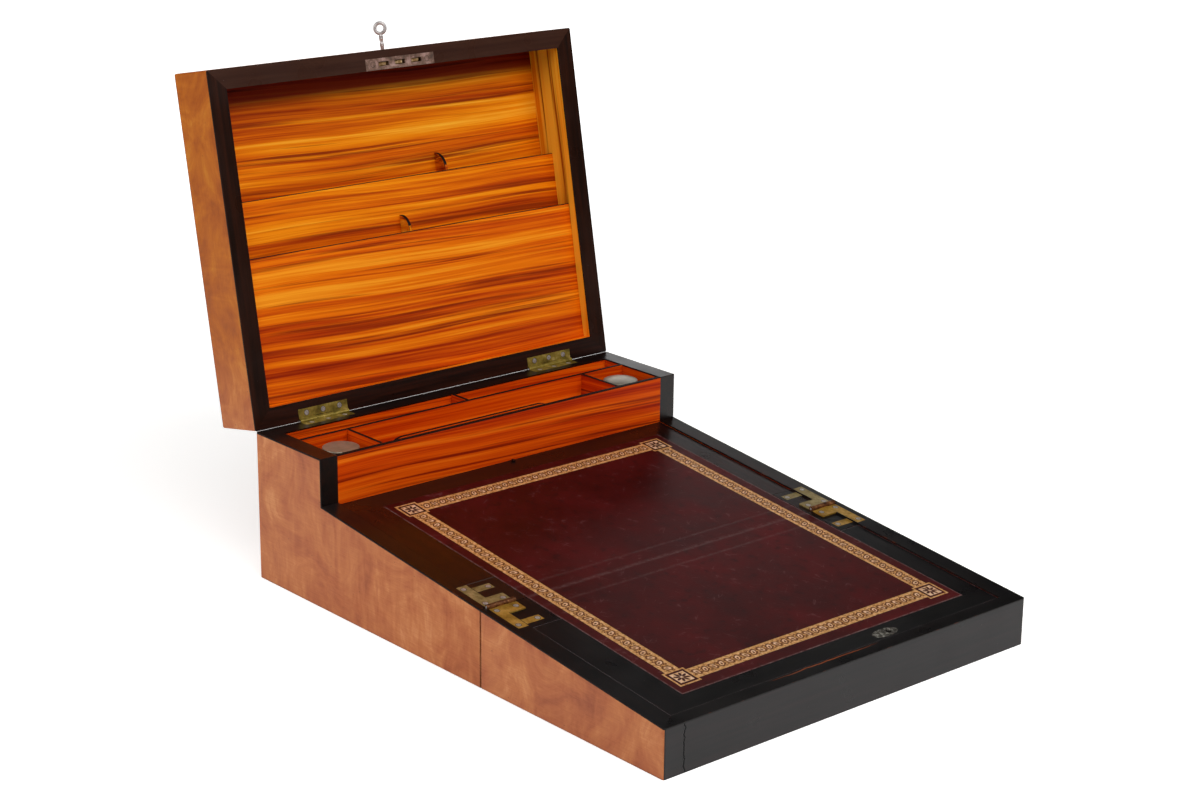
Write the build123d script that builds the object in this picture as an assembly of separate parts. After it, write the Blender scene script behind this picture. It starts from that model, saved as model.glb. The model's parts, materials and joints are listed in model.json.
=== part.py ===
from build123d import *
import os
from math import atan, degrees

# Victorian folding writing slope, standing open: a base with an ink and pen tray, a wedge-shaped
# flap hinged in front of it, two lifting writing boards under one sheet of leather, and a deep
# lid with a stationery rack. Millimetres. The origin is the middle of the base's underside,
# +X to the writer's right, +Y to the back, +Z up.

# ---- driving dimensions ----
box_width = 356.0
base_depth = 277.0
flap_depth = 189.5
rear_height = 118.6
joint_height = 58.7
tray_depth = 85.9
slope_rise = 0.1184
lid_length = 276.0
lid_depth = 47.0
lid_open_angle = 100.8

wall = 13.0
flap_front_wall = 8.5
lining = 2.5
facing = 1.2
bottom_board = 6.0
corner_radius = 1.6

joint_gap = 0.15
lid_gap = 0.3
board_gap = 0.4
board_rest_gap = 0.3

# ---- places that follow from them ----
half_width = box_width / 2
rim = wall + lining
front_rim = flap_front_wall + lining
inner_half = half_width - rim
rear_y = base_depth / 2
joint_y = -base_depth / 2
step_y = rear_y - tray_depth
flap_end_y = joint_y - flap_depth
fold_axis_z = rear_height / 2
lid_rim_z = rear_height + lid_gap
lid_axis_z = rear_height + lid_gap / 2
slope_angle = degrees(atan(slope_rise))

# ---- writing boards and leather ----
board_drop = 1.0
surface_layer = 0.8
board_core = 5.2
leather_x = (-135.8, 142.0)
upper_leather_end = 171.0
lower_leather_end = 161.0
leather_seat = board_drop + surface_layer
bearer_width = 7.0
bearer_height = 8.0
bearer_top = -leather_seat - board_core - board_rest_gap

# ---- slope hinges ----
leaf_thickness = 1.5
leaf_outer_x = 172.3
spine_width = 9.0
spine_length = 35.0
joint_arm = (2.0, 13.0)
joint_arm_tip_x = 148.0
far_arm = (24.0, 31.0)
far_arm_tip_x = 146.0
far_arm_lap = 1.5
barrel_radius = 2.0
barrel_span = (147.5, 173.0)
pin_radius = 0.9
pin_clearance = 0.05
barrel_clearance = 0.3
knuckle_count = 3
knuckle_gap = 0.15
block_length = 36.4
block_depth = 9.0

# ---- lid hinges ----
lid_hinge_x = 114.7
lid_hinge_length = 46.0
lid_leaf_width = 9.5
lid_leaf_thickness = 1.2
lid_barrel_radius = 2.2

# ---- ink and pen tray ----
partition = 2.5
fascia_thickness = 4.0
tray_floor_top = 80.0
tray_floor_thickness = 4.0
long_partition_from_rear = 35.5
ink_divider_x = 118.5
pen_rest_y = rear_y - 69.6
pen_rest_drop = 4.0
pen_rest_flat = (-89.0, 45.0)
pen_rest_curve = 18.0

# ---- inkwells ----
bottle_width = 36.0
bottle_corner = 2.5
bottle_height = 20.0
bottle_lift = 0.2
neck_radius = 10.5
neck_height = 8.0
bottle_chamfer = 2.6
ink_radius = 8.6
ink_floor = 4.0
collar_radius = 12.2
collar_height = 5.0
cap_radius = 14.3
cap_bore = 12.5
cap_top_thickness = 2.4
cap_skirt_lift = 1.0
cap_top_drop = 4.0

# ---- stationery rack, as depth behind the lid's rim and height above its hinge edge ----
front_divider = (9.0, 130.0)
middle_divider = (23.0, 173.0)
rack_back_depth = 38.5
rack_back_thickness = 2.0
front_partition_x = -1.8
rear_partition_x = 51.5
partition_start = 1.5

# ---- lock and key ----
lock_v = 265.2
lock_case = (48.0, 6.2, 34.8)
lock_shell = 1.0
selvage = (67.0, 9.2, 1.2)
slot_pitch = 16.0
slot_size = (10.0, 3.4)
bolt_size = (7.0, 2.6)
bolt_tip_depth = 2.0
bolt_bar = (41.0, 8.0, 13.0)
key_depth = 22.0
key_shaft_radius = 1.5
key_bow_radius = 5.6
key_bow_hole = 3.3
key_bow_thickness = 2.2
key_bow_height = 17.0
key_bit = (5.0, 3.0, 1.2)
key_rest_angle = 33.0
keyhole_radius = 1.9
keyhole_slot = (1.9, 6.2)
strike_slot = (11.5, 4.6)
strike_pocket = (46.0, 5.0, 4.0)

# ---- lower board's catch plate and upper board's pull ----
catch_size = (24.0, 10.4, 1.0)
catch_x = 48.0
catch_from_joint = 171.2
catch_hole_radius = 2.4
catch_hole_x = 4.0
pull_radius = 1.7
pull_height = 1.6
pull_x = 3.0
pull_from_fascia = 3.6

parts = {}


# ---- helpers ----
def slope_z(y, level=0.0):
    """Height of the slope's surface at y, or of a surface level below or above it."""
    return joint_height + slope_rise * (y - joint_y) + level


def from_joint(side, distance):
    """The y at a distance from the joint: side is +1 in the base and -1 in the flap."""
    return joint_y + side * distance


def side_prism(points, x_from, x_to):
    """A solid with a (y, z) outline that runs from x_from to x_to."""
    face = Plane.YZ.offset(x_from) * Polygon(*points, align=None)
    return extrude(face, amount=x_to - x_from, dir=(1, 0, 0))


def plan_prism(points, z_from, z_to):
    """A solid with an (x, y) outline that runs from z_from to z_to."""
    face = Pos(0, 0, z_from) * Polygon(*points, align=None)
    return extrude(face, amount=z_to - z_from, dir=(0, 0, 1))


def block(x, y, z):
    """A box between pairs of limits."""
    middle = Pos((x[0] + x[1]) / 2, (y[0] + y[1]) / 2, (z[0] + z[1]) / 2)
    return middle * Box(abs(x[1] - x[0]), abs(y[1] - y[0]), abs(z[1] - z[0]))


def rod_along_x(radius, x_from, x_to, y, z):
    """A round bar between two places along X."""
    return Pos((x_from + x_to) / 2, y, z) * Rot(0, 90, 0) * Cylinder(radius, x_to - x_from)


def both_sides(shape):
    """A right-hand piece and its mirror image on the left."""
    return [shape, mirror(shape, about=Plane.YZ)]


def together(shapes):
    """Several separate solids as one node's shape."""
    solids = [s for shape in shapes for s in shape.solids()]
    return Compound(children=solids)


def less(shape, cutters):
    """A shape with every cutter taken out of it."""
    for cutter in cutters:
        shape = shape - cutter
    return shape


def frame_plans(x, y, sides, front, rear):
    """Plan outlines of four boards that meet in mitres; sides are the left and right widths."""
    left, right = sides
    outer = [(x[0], y[0]), (x[1], y[0]), (x[1], y[1]), (x[0], y[1])]
    inner = [
        (x[0] + left, y[0] + front),
        (x[1] - right, y[0] + front),
        (x[1] - right, y[1] - rear),
        (x[0] + left, y[1] - rear),
    ]
    names = ("front", "right", "rear", "left")
    return {
        name: [outer[i], outer[(i + 1) % 4], inner[(i + 1) % 4], inner[i]]
        for i, name in enumerate(names)
    }


def rounded_plan(y, z):
    """The whole plan with softened corners, to trim the outer boards."""
    width = box_width
    middle = Pos(0, (y[0] + y[1]) / 2, z[0])
    return extrude(middle * RectangleRounded(width, y[1] - y[0], corner_radius), z[1] - z[0])


def barrel_pieces(radius, span, y, z, own):
    """Knuckles of one leaf, and the room that the other leaf's knuckles need."""
    pitch = (span[1] - span[0]) / knuckle_count
    knuckles = []
    room = []
    for i in range(knuckle_count):
        start = span[0] + i * pitch
        stop = start + pitch
        if i % 2 == own:
            knuckles.append(
                rod_along_x(radius, start + knuckle_gap / 2, stop - knuckle_gap / 2, y, z)
            )
        else:
            wide = radius + barrel_clearance
            room.append(
                rod_along_x(wide, start - knuckle_gap / 2, stop + knuckle_gap / 2, y, z)
            )
    return knuckles, room


def joined(plates, knuckles, room, bore):
    """One leaf: plates and knuckles, bored for the pin, clear of the other leaf."""
    shape = less(plates, room)
    for knuckle in knuckles:
        shape = shape + knuckle
    return shape - bore


# ---- slope hinges: C-shaped leaves let into the wall tops on both sides of the joint ----
def slope_plate(side, x, distance, level):
    """A flat plate parallel to the slope, its top at the level given."""
    y = [from_joint(side, d) for d in distance]
    lower = level - leaf_thickness
    outline = [
        (y[0], slope_z(y[0], level)),
        (y[1], slope_z(y[1], level)),
        (y[1], slope_z(y[1], lower)),
        (y[0], slope_z(y[0], lower)),
    ]
    return side_prism(outline, *x)


def slope_leaf(side):
    """Right-hand leaf: spine on the wall, arm at the joint, cranked far arm at board level."""
    spine_x = (leaf_outer_x - spine_width, leaf_outer_x)
    plates = slope_plate(side, spine_x, (joint_gap, spine_length), 0)
    plates += slope_plate(side, (joint_arm_tip_x, leaf_outer_x), (joint_gap, joint_arm[1]), 0)
    far_x = (far_arm_tip_x, spine_x[0] + far_arm_lap)
    plates += slope_plate(side, far_x, far_arm, -board_drop)
    own = 0 if side > 0 else 1
    knuckles, room = barrel_pieces(barrel_radius, barrel_span, joint_y, fold_axis_z, own)
    bore_x = (barrel_span[0] - 1, barrel_span[1] + 1)
    bore = rod_along_x(pin_radius + pin_clearance, *bore_x, joint_y, fold_axis_z)
    return joined(plates, knuckles, room, bore), plates


slope_barrel_room = rod_along_x(
    barrel_radius + barrel_clearance,
    barrel_span[0] - barrel_clearance,
    barrel_span[1] + barrel_clearance,
    joint_y,
    fold_axis_z,
)


def slope_hinge_side(side):
    """Leaves and the recesses they need, for the base (+1) or the flap (-1)."""
    leaf, plates = slope_leaf(side)
    cutters = [plates, slope_barrel_room]
    cutters += [mirror(c, about=Plane.YZ) for c in cutters]
    return both_sides(leaf), cutters


base_slope_leaves, base_slope_cuts = slope_hinge_side(+1)
flap_slope_leaves, flap_slope_cuts = slope_hinge_side(-1)
parts["slope_hinge_base_leaves"] = together(base_slope_leaves)
parts["slope_hinge_flap_leaves"] = together(flap_slope_leaves)


# ---- lid hinges: butt hinges at the rear edge ----
def lid_leaf(centre, upper):
    """One leaf of a butt hinge at the closed lid: upper for the lid's leaf."""
    span = (centre - lid_hinge_length / 2, centre + lid_hinge_length / 2)
    if upper:
        z = (lid_rim_z, lid_rim_z + lid_leaf_thickness)
    else:
        z = (rear_height - lid_leaf_thickness, rear_height)
    plate = block(span, (rear_y - lid_leaf_width, rear_y), z)
    own = 0 if upper else 1
    knuckles, room = barrel_pieces(lid_barrel_radius, span, rear_y, lid_axis_z, own)
    bore = rod_along_x(pin_radius + pin_clearance, span[0] - 1, span[1] + 1, rear_y, lid_axis_z)
    return joined(plate, knuckles, room, bore), plate


def lid_hinge_side(upper):
    """Both hinges' leaves and their recesses in the base or in the closed lid."""
    leaves = []
    cutters = []
    for centre in (-lid_hinge_x, lid_hinge_x):
        leaf, plate = lid_leaf(centre, upper)
        room = rod_along_x(
            lid_barrel_radius + barrel_clearance,
            centre - lid_hinge_length / 2 - barrel_clearance,
            centre + lid_hinge_length / 2 + barrel_clearance,
            rear_y,
            lid_axis_z,
        )
        leaves.append(leaf)
        cutters += [plate, room]
    return leaves, cutters


base_lid_leaves, base_lid_cuts = lid_hinge_side(False)
lid_lid_leaves, lid_lid_cuts = lid_hinge_side(True)
parts["lid_hinge_base_leaves"] = together(base_lid_leaves)


def hinge_pins():
    """The four pins, held by the base's leaves."""
    fold = rod_along_x(pin_radius, *barrel_span, joint_y, fold_axis_z)
    pins = both_sides(fold)
    for centre in (-lid_hinge_x, lid_hinge_x):
        ends = (centre - lid_hinge_length / 2, centre + lid_hinge_length / 2)
        pins.append(rod_along_x(pin_radius, *ends, rear_y, lid_axis_z))
    return pins


parts["hinge_pins"] = together(hinge_pins())


# ---- base carcass ----
base_face_y = joint_y + joint_gap
base_outline = [
    (rear_y, 0),
    (rear_y, rear_height),
    (step_y, rear_height),
    (step_y, slope_z(step_y)),
    (base_face_y, slope_z(base_face_y)),
    (base_face_y, 0),
]
base_core_outline = [
    (rear_y, 0),
    (rear_y, rear_height - facing),
    (step_y + facing, rear_height - facing),
    (step_y + facing, slope_z(step_y + facing, -facing)),
    (base_face_y, slope_z(base_face_y, -facing)),
    (base_face_y, 0),
]
base_whole = side_prism(base_outline, -half_width, half_width)
base_core = side_prism(base_core_outline, -half_width, half_width)
base_round = rounded_plan((base_face_y - 2 * corner_radius, rear_y), (0, rear_height))
base_cuts = base_slope_cuts + base_lid_cuts
full_x = (-half_width, half_width)


def end_wall(side, near, far, height_from):
    """A cross board beside the joint, its top under the leather."""
    y = (from_joint(side, near), from_joint(side, far))
    outline = [
        (y[0], height_from),
        (y[1], height_from),
        (y[1], slope_z(y[1], -leather_seat)),
        (y[0], slope_z(y[0], -leather_seat)),
    ]
    return outline


def base_carcass():
    """Bottom, walls, linings and the dark facings over their edges."""
    plans = frame_plans(full_x, (base_face_y, rear_y), (wall, wall), 0, wall)
    boards = {
        name: less(plan_prism(plans[name], 0, rear_height) & base_core & base_round, base_cuts)
        for name in ("left", "right", "rear")
    }
    parts["base_side_walls"] = together([boards["left"], boards["right"]])
    parts["base_rear_wall"] = boards["rear"]
    outline = end_wall(1, joint_gap, wall, bottom_board)
    joint_wall = side_prism(outline, wall - half_width, half_width - wall)
    parts["base_joint_wall"] = less(joint_wall, base_slope_cuts)

    room_x = (wall - half_width, half_width - wall)
    inner = frame_plans(room_x, (joint_y + wall, rear_y - wall), (lining, lining), 0, lining)
    linings = []
    for name in ("left", "right", "rear"):
        board = plan_prism(inner[name], bottom_board, rear_height) & base_core
        linings.append(less(board, base_cuts))
    outline = end_wall(1, wall, rim, bottom_board)
    linings.append(less(side_prism(outline, -inner_half, inner_half), base_slope_cuts))
    parts["base_linings"] = together(linings)

    strips = frame_plans(full_x, (base_face_y, rear_y), (rim, rim), 0, rim)
    facings = []
    for name in ("left", "right", "rear"):
        strip = plan_prism(strips[name], 0, rear_height) & base_whole & base_round
        facings.append(less(strip - base_core, base_cuts))
    parts["base_facings"] = together(facings)

    parts["base_bottom"] = block(room_x, (base_face_y, rear_y - wall), (0, bottom_board))


base_carcass()


# ---- flap carcass ----
flap_face_y = joint_y - joint_gap
flap_outline = [
    (flap_face_y, 0),
    (flap_face_y, slope_z(flap_face_y)),
    (flap_end_y, slope_z(flap_end_y)),
    (flap_end_y, 0),
]
flap_core_outline = [
    (flap_face_y, 0),
    (flap_face_y, slope_z(flap_face_y, -facing)),
    (flap_end_y, slope_z(flap_end_y, -facing)),
    (flap_end_y, 0),
]
flap_whole = side_prism(flap_outline, -half_width, half_width)
flap_core = side_prism(flap_core_outline, -half_width, half_width)
flap_round = rounded_plan((flap_end_y, flap_face_y + 2 * corner_radius), (0, rear_height))
strike_y = joint_y - (base_depth - lock_v)


def strike():
    """Slotted plate let into the flap's underside, where the closed lid's bolts go in."""
    length, width, thickness = selvage
    y = (strike_y - width / 2, strike_y + width / 2)
    plate = block((-length / 2, length / 2), y, (0, thickness))
    slots = [
        Pos(k * slot_pitch, strike_y, thickness / 2) * Box(*strike_slot, 2 * thickness)
        for k in (-1, 0, 1)
    ]
    pocket_x, pocket_y, pocket_z = strike_pocket
    pocket = block(
        (-pocket_x / 2, pocket_x / 2),
        (strike_y - pocket_y / 2, strike_y + pocket_y / 2),
        (thickness, thickness + pocket_z),
    )
    return less(plate, slots), [plate, pocket]


parts["lock_strike_plate"], strike_cuts = strike()


def flap_carcass():
    """Bottom, walls, linings and facings of the wedge-shaped flap."""
    plans = frame_plans(full_x, (flap_end_y, flap_face_y), (wall, wall), flap_front_wall, 0)
    boards = {
        name: less(plan_prism(plans[name], 0, rear_height) & flap_core & flap_round, flap_slope_cuts)
        for name in ("left", "right", "front")
    }
    parts["flap_side_walls"] = together([boards["left"], boards["right"]])
    parts["flap_front_wall"] = boards["front"]
    outline = end_wall(-1, joint_gap, wall, bottom_board)
    joint_wall = side_prism(outline, wall - half_width, half_width - wall)
    parts["flap_joint_wall"] = less(joint_wall, flap_slope_cuts)

    room_x = (wall - half_width, half_width - wall)
    room_y = (flap_end_y + flap_front_wall, joint_y - wall)
    inner = frame_plans(room_x, room_y, (lining, lining), lining, 0)
    linings = []
    for name in ("left", "right", "front"):
        board = plan_prism(inner[name], bottom_board, rear_height) & flap_core
        linings.append(less(board, flap_slope_cuts))
    outline = end_wall(-1, wall, rim, bottom_board)
    linings.append(less(side_prism(outline, -inner_half, inner_half), flap_slope_cuts))
    parts["flap_linings"] = together(linings)

    strips = frame_plans(full_x, (flap_end_y, flap_face_y), (rim, rim), front_rim, 0)
    facings = []
    for name in ("left", "right", "front"):
        strip = plan_prism(strips[name], 0, rear_height) & flap_whole & flap_round
        facings.append(less(strip - flap_core, flap_slope_cuts))
    parts["flap_facings"] = together(facings)

    floor = block(room_x, (room_y[0], flap_face_y), (0, bottom_board))
    parts["flap_bottom"] = less(floor, strike_cuts)


flap_carcass()


# ---- hinge blocks, bearers and the leather over the fold ----
def hinge_blocks(side, cuts):
    """Ebonised blocks in the corners beside the joint, which carry the hinge arms."""
    near = from_joint(side, joint_gap)
    ledge = from_joint(side, rim)
    far = from_joint(side, block_length)
    outline = [
        (near, slope_z(near, -board_drop)),
        (far, slope_z(far, -board_drop)),
        (far, slope_z(far, -block_depth)),
        (ledge, slope_z(ledge, -block_depth)),
        (ledge, slope_z(ledge, -leather_seat)),
        (near, slope_z(near, -leather_seat)),
    ]
    right = less(side_prism(outline, leather_x[1] + board_gap, inner_half), cuts)
    left = less(side_prism(outline, -inner_half, leather_x[0] - board_gap), cuts)
    return together([right, left])


def sloped_layer(side, x, distance, upper, lower):
    """A layer parallel to the slope between two levels."""
    y = [from_joint(side, d) for d in distance]
    outline = [
        (y[0], slope_z(y[0], upper)),
        (y[1], slope_z(y[1], upper)),
        (y[1], slope_z(y[1], lower)),
        (y[0], slope_z(y[0], lower)),
    ]
    return side_prism(outline, *x)


base_slope_length = base_depth - tray_depth
flap_opening = flap_depth - front_rim


def bearers(side, stop, front_strip):
    """Strips on the linings that the closed writing boards lie on."""
    levels = (bearer_top, bearer_top - bearer_height)
    x = (inner_half - bearer_width, inner_half)
    strips = both_sides(sloped_layer(side, x, (block_length, stop), *levels))
    if front_strip:
        across = (bearer_width - inner_half, inner_half - bearer_width)
        strips.append(sloped_layer(side, across, (stop - bearer_width, stop), *levels))
    return together(strips)


def fold_leather(side):
    """Leather that crosses the top of the board beside the joint."""
    return sloped_layer(side, leather_x, (joint_gap, rim), -board_drop, -leather_seat)


parts["base_hinge_blocks"] = hinge_blocks(1, base_slope_cuts)
parts["flap_hinge_blocks"] = hinge_blocks(-1, flap_slope_cuts)
parts["base_board_bearers"] = bearers(1, base_slope_length, False)
parts["flap_board_bearers"] = bearers(-1, flap_opening, True)
parts["base_fold_leather"] = fold_leather(1)
parts["flap_fold_leather"] = fold_leather(-1)


# ---- writing boards ----
def writing_board(side, far_edge, leather_end):
    """Core, ebonised mitred border and leather of one lifting board."""
    near = rim + board_gap
    far = far_edge - board_gap
    half = inner_half - board_gap
    core = sloped_layer(side, (-half, half), (near, far), -leather_seat, -leather_seat - board_core)
    corner = block_length + board_gap
    notches = [
        block(x, sorted((from_joint(side, 0), from_joint(side, corner))), (0, rear_height))
        for x in ((leather_x[1], half + 1), (-half - 1, leather_x[0]))
    ]
    core = less(core, notches)
    layer = (-board_drop, -leather_seat)
    leather = sloped_layer(side, leather_x, (near, leather_end), *layer)
    far_width = far - leather_end
    side_widths = (half + leather_x[0], half - leather_x[1])
    y = sorted((from_joint(side, near), from_joint(side, far)))
    widths = (0, far_width) if side > 0 else (far_width, 0)
    plans = frame_plans((-half, half), y, side_widths, *widths)
    sheet = sloped_layer(side, (-half, half), (near, far), *layer)
    names = ("left", "right", "rear" if side > 0 else "front")
    border = [less(plan_prism(plans[n], 0, rear_height) & sheet, notches) for n in names]
    return core, border, leather


upper_core, upper_border, upper_leather = writing_board(1, base_slope_length, upper_leather_end)
lower_core, lower_border, lower_leather = writing_board(-1, flap_opening, lower_leather_end)


def upper_pull():
    """Small turned knob by the fascia that lifts the upper board."""
    y = step_y - pull_from_fascia
    knob = Cylinder(pull_radius, pull_height, align=(Align.CENTER, Align.CENTER, Align.MIN))
    return Pos(pull_x, y, slope_z(y, -board_drop)) * Rot(slope_angle, 0, 0) * knob


def catch_plate():
    """Oval plate sunk in the lower board's front border, with a hole for its spring catch."""
    y = from_joint(-1, catch_from_joint)
    place = Pos(catch_x, y, slope_z(y, -board_drop)) * Rot(slope_angle, 0, 0)
    oval = extrude(Ellipse(catch_size[0] / 2, catch_size[1] / 2), -catch_size[2])
    hole = Pos(catch_hole_x, 0, 0) * Cylinder(catch_hole_radius, 4 * catch_size[2])
    return place * (oval - hole), place * oval


catch, catch_recess = catch_plate()
parts["upper_board_core"] = upper_core
parts["upper_board_border"] = together(upper_border)
parts["upper_board_leather"] = upper_leather
parts["upper_board_pull"] = upper_pull()
parts["lower_board_core"] = lower_core - catch_recess
parts["lower_board_border"] = together([b - catch_recess for b in lower_border])
parts["lower_board_leather"] = lower_leather
parts["lower_board_catch"] = catch


# ---- ink and pen tray ----
def tray():
    """Fascia, floor, partitions and pen rest behind the slope."""
    fascia_y = (step_y, step_y + fascia_thickness)
    tray_y = (fascia_y[1], rear_y - rim)
    floor_z = (tray_floor_top - tray_floor_thickness, tray_floor_top)
    walls_z = (tray_floor_top, rear_height)
    across = (-inner_half, inner_half)
    parts["tray_fascia"] = block(across, fascia_y, (floor_z[0], rear_height))
    parts["tray_floor"] = block(across, tray_y, floor_z)
    back = rear_y - long_partition_from_rear
    parts["tray_long_partition"] = block(across, (back - partition, back), walls_z)
    dividers = [block((-partition / 2, partition / 2), (back, tray_y[1]), walls_z)]
    for x in (-ink_divider_x, ink_divider_x):
        span = (x - partition / 2, x + partition / 2)
        dividers.append(block(span, (tray_y[0], back - partition), walls_z))
    parts["tray_dividers"] = together(dividers)
    parts["pen_rest"] = pen_rest()


def pen_rest():
    """Upright strip whose ends curve down, which pens lie across."""
    top = rear_height - pen_rest_drop
    left, right = pen_rest_flat
    turn = pen_rest_curve
    low = top - turn
    path = [
        Line((left - turn, tray_floor_top), (left - turn, low)),
        RadiusArc((left - turn, low), (left, top), turn),
        Line((left, top), (right, top)),
        RadiusArc((right, top), (right + turn, low), turn),
        Line((right + turn, low), (right + turn, tray_floor_top)),
        Line((right + turn, tray_floor_top), (left - turn, tray_floor_top)),
    ]
    face = Plane.XZ.offset(-pen_rest_y) * make_face(path)
    return extrude(face, amount=partition, dir=(0, 1, 0))


tray()


# ---- inkwells ----
def inkwell(x, side_name):
    """Square glass bottle, its collar fixed on the neck, and a flat push-on cap."""
    y = rear_y - (tray_depth + long_partition_from_rear + partition - fascia_thickness) / 2
    z = tray_floor_top + bottle_lift
    up = (Align.CENTER, Align.CENTER, Align.MIN)
    bottle = Box(bottle_width, bottle_width, bottle_height, align=up)
    bottle = chamfer(bottle.edges().filter_by(Axis.Z), bottle_corner)
    bottle = chamfer(bottle.edges().group_by(Axis.Z)[-1], bottle_chamfer)
    neck_top = bottle_height + neck_height
    collar_from = neck_top - collar_height
    bottle += Cylinder(neck_radius, neck_top, align=up)
    bottle += Pos(0, 0, collar_from) * Cylinder(collar_radius, collar_height, align=up)
    bottle -= Pos(0, 0, ink_floor) * Cylinder(ink_radius, neck_top, align=up)
    cap_top = rear_height - cap_top_drop - z
    cap_from = collar_from + cap_skirt_lift
    cap = Pos(0, 0, cap_from) * Cylinder(cap_radius, cap_top - cap_from, align=up)
    cap -= Cylinder(cap_bore, cap_top - cap_top_thickness, align=up)
    place = Pos(x, y, z)
    parts["inkwell_%s_bottle" % side_name] = place * bottle
    parts["inkwell_%s_cap" % side_name] = place * cap


ink_bay_x = (inner_half + ink_divider_x + partition / 2) / 2
inkwell(-ink_bay_x, "left")
inkwell(ink_bay_x, "right")


# ---- lid, drawn closed and then swung open about its rear edge ----
lid_front_y = rear_y - lid_length
lid_hinge_axis = Axis((0, rear_y, lid_axis_z), (1, 0, 0))


def swung_open(shape):
    """The closed lid's piece in its open place."""
    return shape.rotate(lid_hinge_axis, -lid_open_angle)


def lid_y(height):
    """The y, on the closed lid, of a height above the hinge edge of the open lid."""
    return rear_y - height


def keyhole(v_from, v_to):
    """Round hole with a slot towards the rim, through part of the lid's front edge."""
    y = (lid_y(v_from), lid_y(v_to))
    z = lid_rim_z + key_depth
    round_part = Pos(0, sum(y) / 2, z) * Rot(90, 0, 0) * Cylinder(keyhole_radius, abs(y[1] - y[0]))
    half = keyhole_slot[0] / 2
    return round_part + block((-half, half), y, (z - keyhole_slot[1], z))


def lock():
    """Lock case and slotted selvage in the lid's front edge, and what they need cut out."""
    case_x, case_v, case_z = lock_case
    length, width, thickness = selvage
    y = lid_y(lock_v)
    z = lid_rim_z + thickness
    half = case_x / 2
    depth = case_v / 2
    case = block((-half, half), (y - depth, y + depth), (z, z + case_z))
    inner = half - lock_shell
    inner_y = (y - depth + lock_shell, y + depth - lock_shell)
    hollow = block((-inner, inner), inner_y, (z, z + case_z - lock_shell))
    shell = case - hollow - keyhole(lock_v, lock_v + case_v)
    plate_y = (y - width / 2, y + width / 2)
    plate = block((-length / 2, length / 2), plate_y, (lid_rim_z, z))
    slots = [
        Pos(k * slot_pitch, y, lid_rim_z + thickness / 2) * Box(*slot_size, 2 * thickness)
        for k in (-1, 0, 1)
    ]
    return shell, less(plate, slots), [case, plate]


def bolts():
    """Bar with three bolts that shoots out through the selvage when the key turns."""
    y = lid_y(lock_v)
    width, thickness = bolt_size
    half = bolt_bar[0] / 2
    y_limits = (y - thickness / 2, y + thickness / 2)
    tip = lid_rim_z + bolt_tip_depth
    bar_z = (lid_rim_z + bolt_bar[1], lid_rim_z + bolt_bar[2])
    shape = block((-half, half), y_limits, bar_z)
    for k in (-1, 0, 1):
        x = (k * slot_pitch - width / 2, k * slot_pitch + width / 2)
        shape += block(x, y_limits, (tip, bar_z[0]))
    return shape


def key():
    """Steel key with a ring bow and a flat bit."""
    z = lid_rim_z + key_depth
    shaft_end = lid_y(lock_v - key_bit[1] / 2)
    bow_y = lid_y(lid_length + key_bow_height)
    shaft_start = bow_y + (key_bow_radius + key_bow_hole) / 2
    shaft = Pos(0, (shaft_start + shaft_end) / 2, z) * Rot(90, 0, 0)
    shape = shaft * Cylinder(key_shaft_radius, abs(shaft_end - shaft_start))
    ring = Cylinder(key_bow_radius, key_bow_thickness) - Cylinder(key_bow_hole, key_bow_thickness)
    shape += Pos(0, bow_y, z) * Rot(0, 90, 0) * ring
    reach, bit_length, bit_thickness = key_bit
    half = bit_thickness / 2
    bit_y = (shaft_end, shaft_end - bit_length)
    shape += block((-half, half), bit_y, (z - reach, z))
    axis = Axis((0, 0, z), (0, -1, 0))
    return shape.rotate(axis, key_rest_angle)


lock_shell_solid, lock_plate, lock_cuts = lock()
lid_cuts = lid_lid_cuts + lock_cuts


def lid_carcass():
    """Top panel, walls, linings and mitred rim facing."""
    y_limits = (lid_front_y, rear_y)
    rim_z = lid_rim_z + facing
    top_z = lid_rim_z + lid_depth
    lining_top = lid_rim_z + rack_back_depth
    panel_bottom = lining_top + rack_back_thickness
    outer = Pos(0, sum(y_limits) / 2, lid_rim_z)
    rounded = extrude(outer * RectangleRounded(box_width, lid_length, corner_radius), lid_depth)
    plans = frame_plans(full_x, y_limits, (wall, wall), wall, wall)
    boards = {n: less(plan_prism(p, rim_z, top_z) & rounded, lid_cuts) for n, p in plans.items()}
    front = boards["front"] - keyhole(lock_v, lid_length + 1)
    parts["lid_side_walls"] = swung_open(together([boards["left"], boards["right"]]))
    parts["lid_rear_wall"] = swung_open(boards["rear"])
    parts["lid_front_wall"] = swung_open(front)
    room_x = (wall - half_width, half_width - wall)
    room_y = (lid_front_y + wall, rear_y - wall)
    panel = block(room_x, room_y, (panel_bottom, top_z))
    parts["lid_top_panel"] = swung_open(panel)
    inner = frame_plans(room_x, room_y, (lining, lining), lining, lining)
    linings = [less(plan_prism(plan, rim_z, lining_top), lid_cuts) for plan in inner.values()]
    linings.append(block(room_x, room_y, (lining_top, panel_bottom)))
    parts["lid_linings"] = swung_open(together(linings))
    strips = frame_plans(full_x, y_limits, (rim, rim), rim, rim)
    facings = [less(plan_prism(p, lid_rim_z, rim_z) & rounded, lid_cuts) for p in strips.values()]
    parts["lid_facings"] = swung_open(together(facings))


def rack_divider(depth, top):
    """Upright board of the rack that faces the writer."""
    z = (lid_rim_z + depth, lid_rim_z + depth + partition)
    return block((-inner_half, inner_half), (lid_y(top), lid_y(rim)), z)


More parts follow.
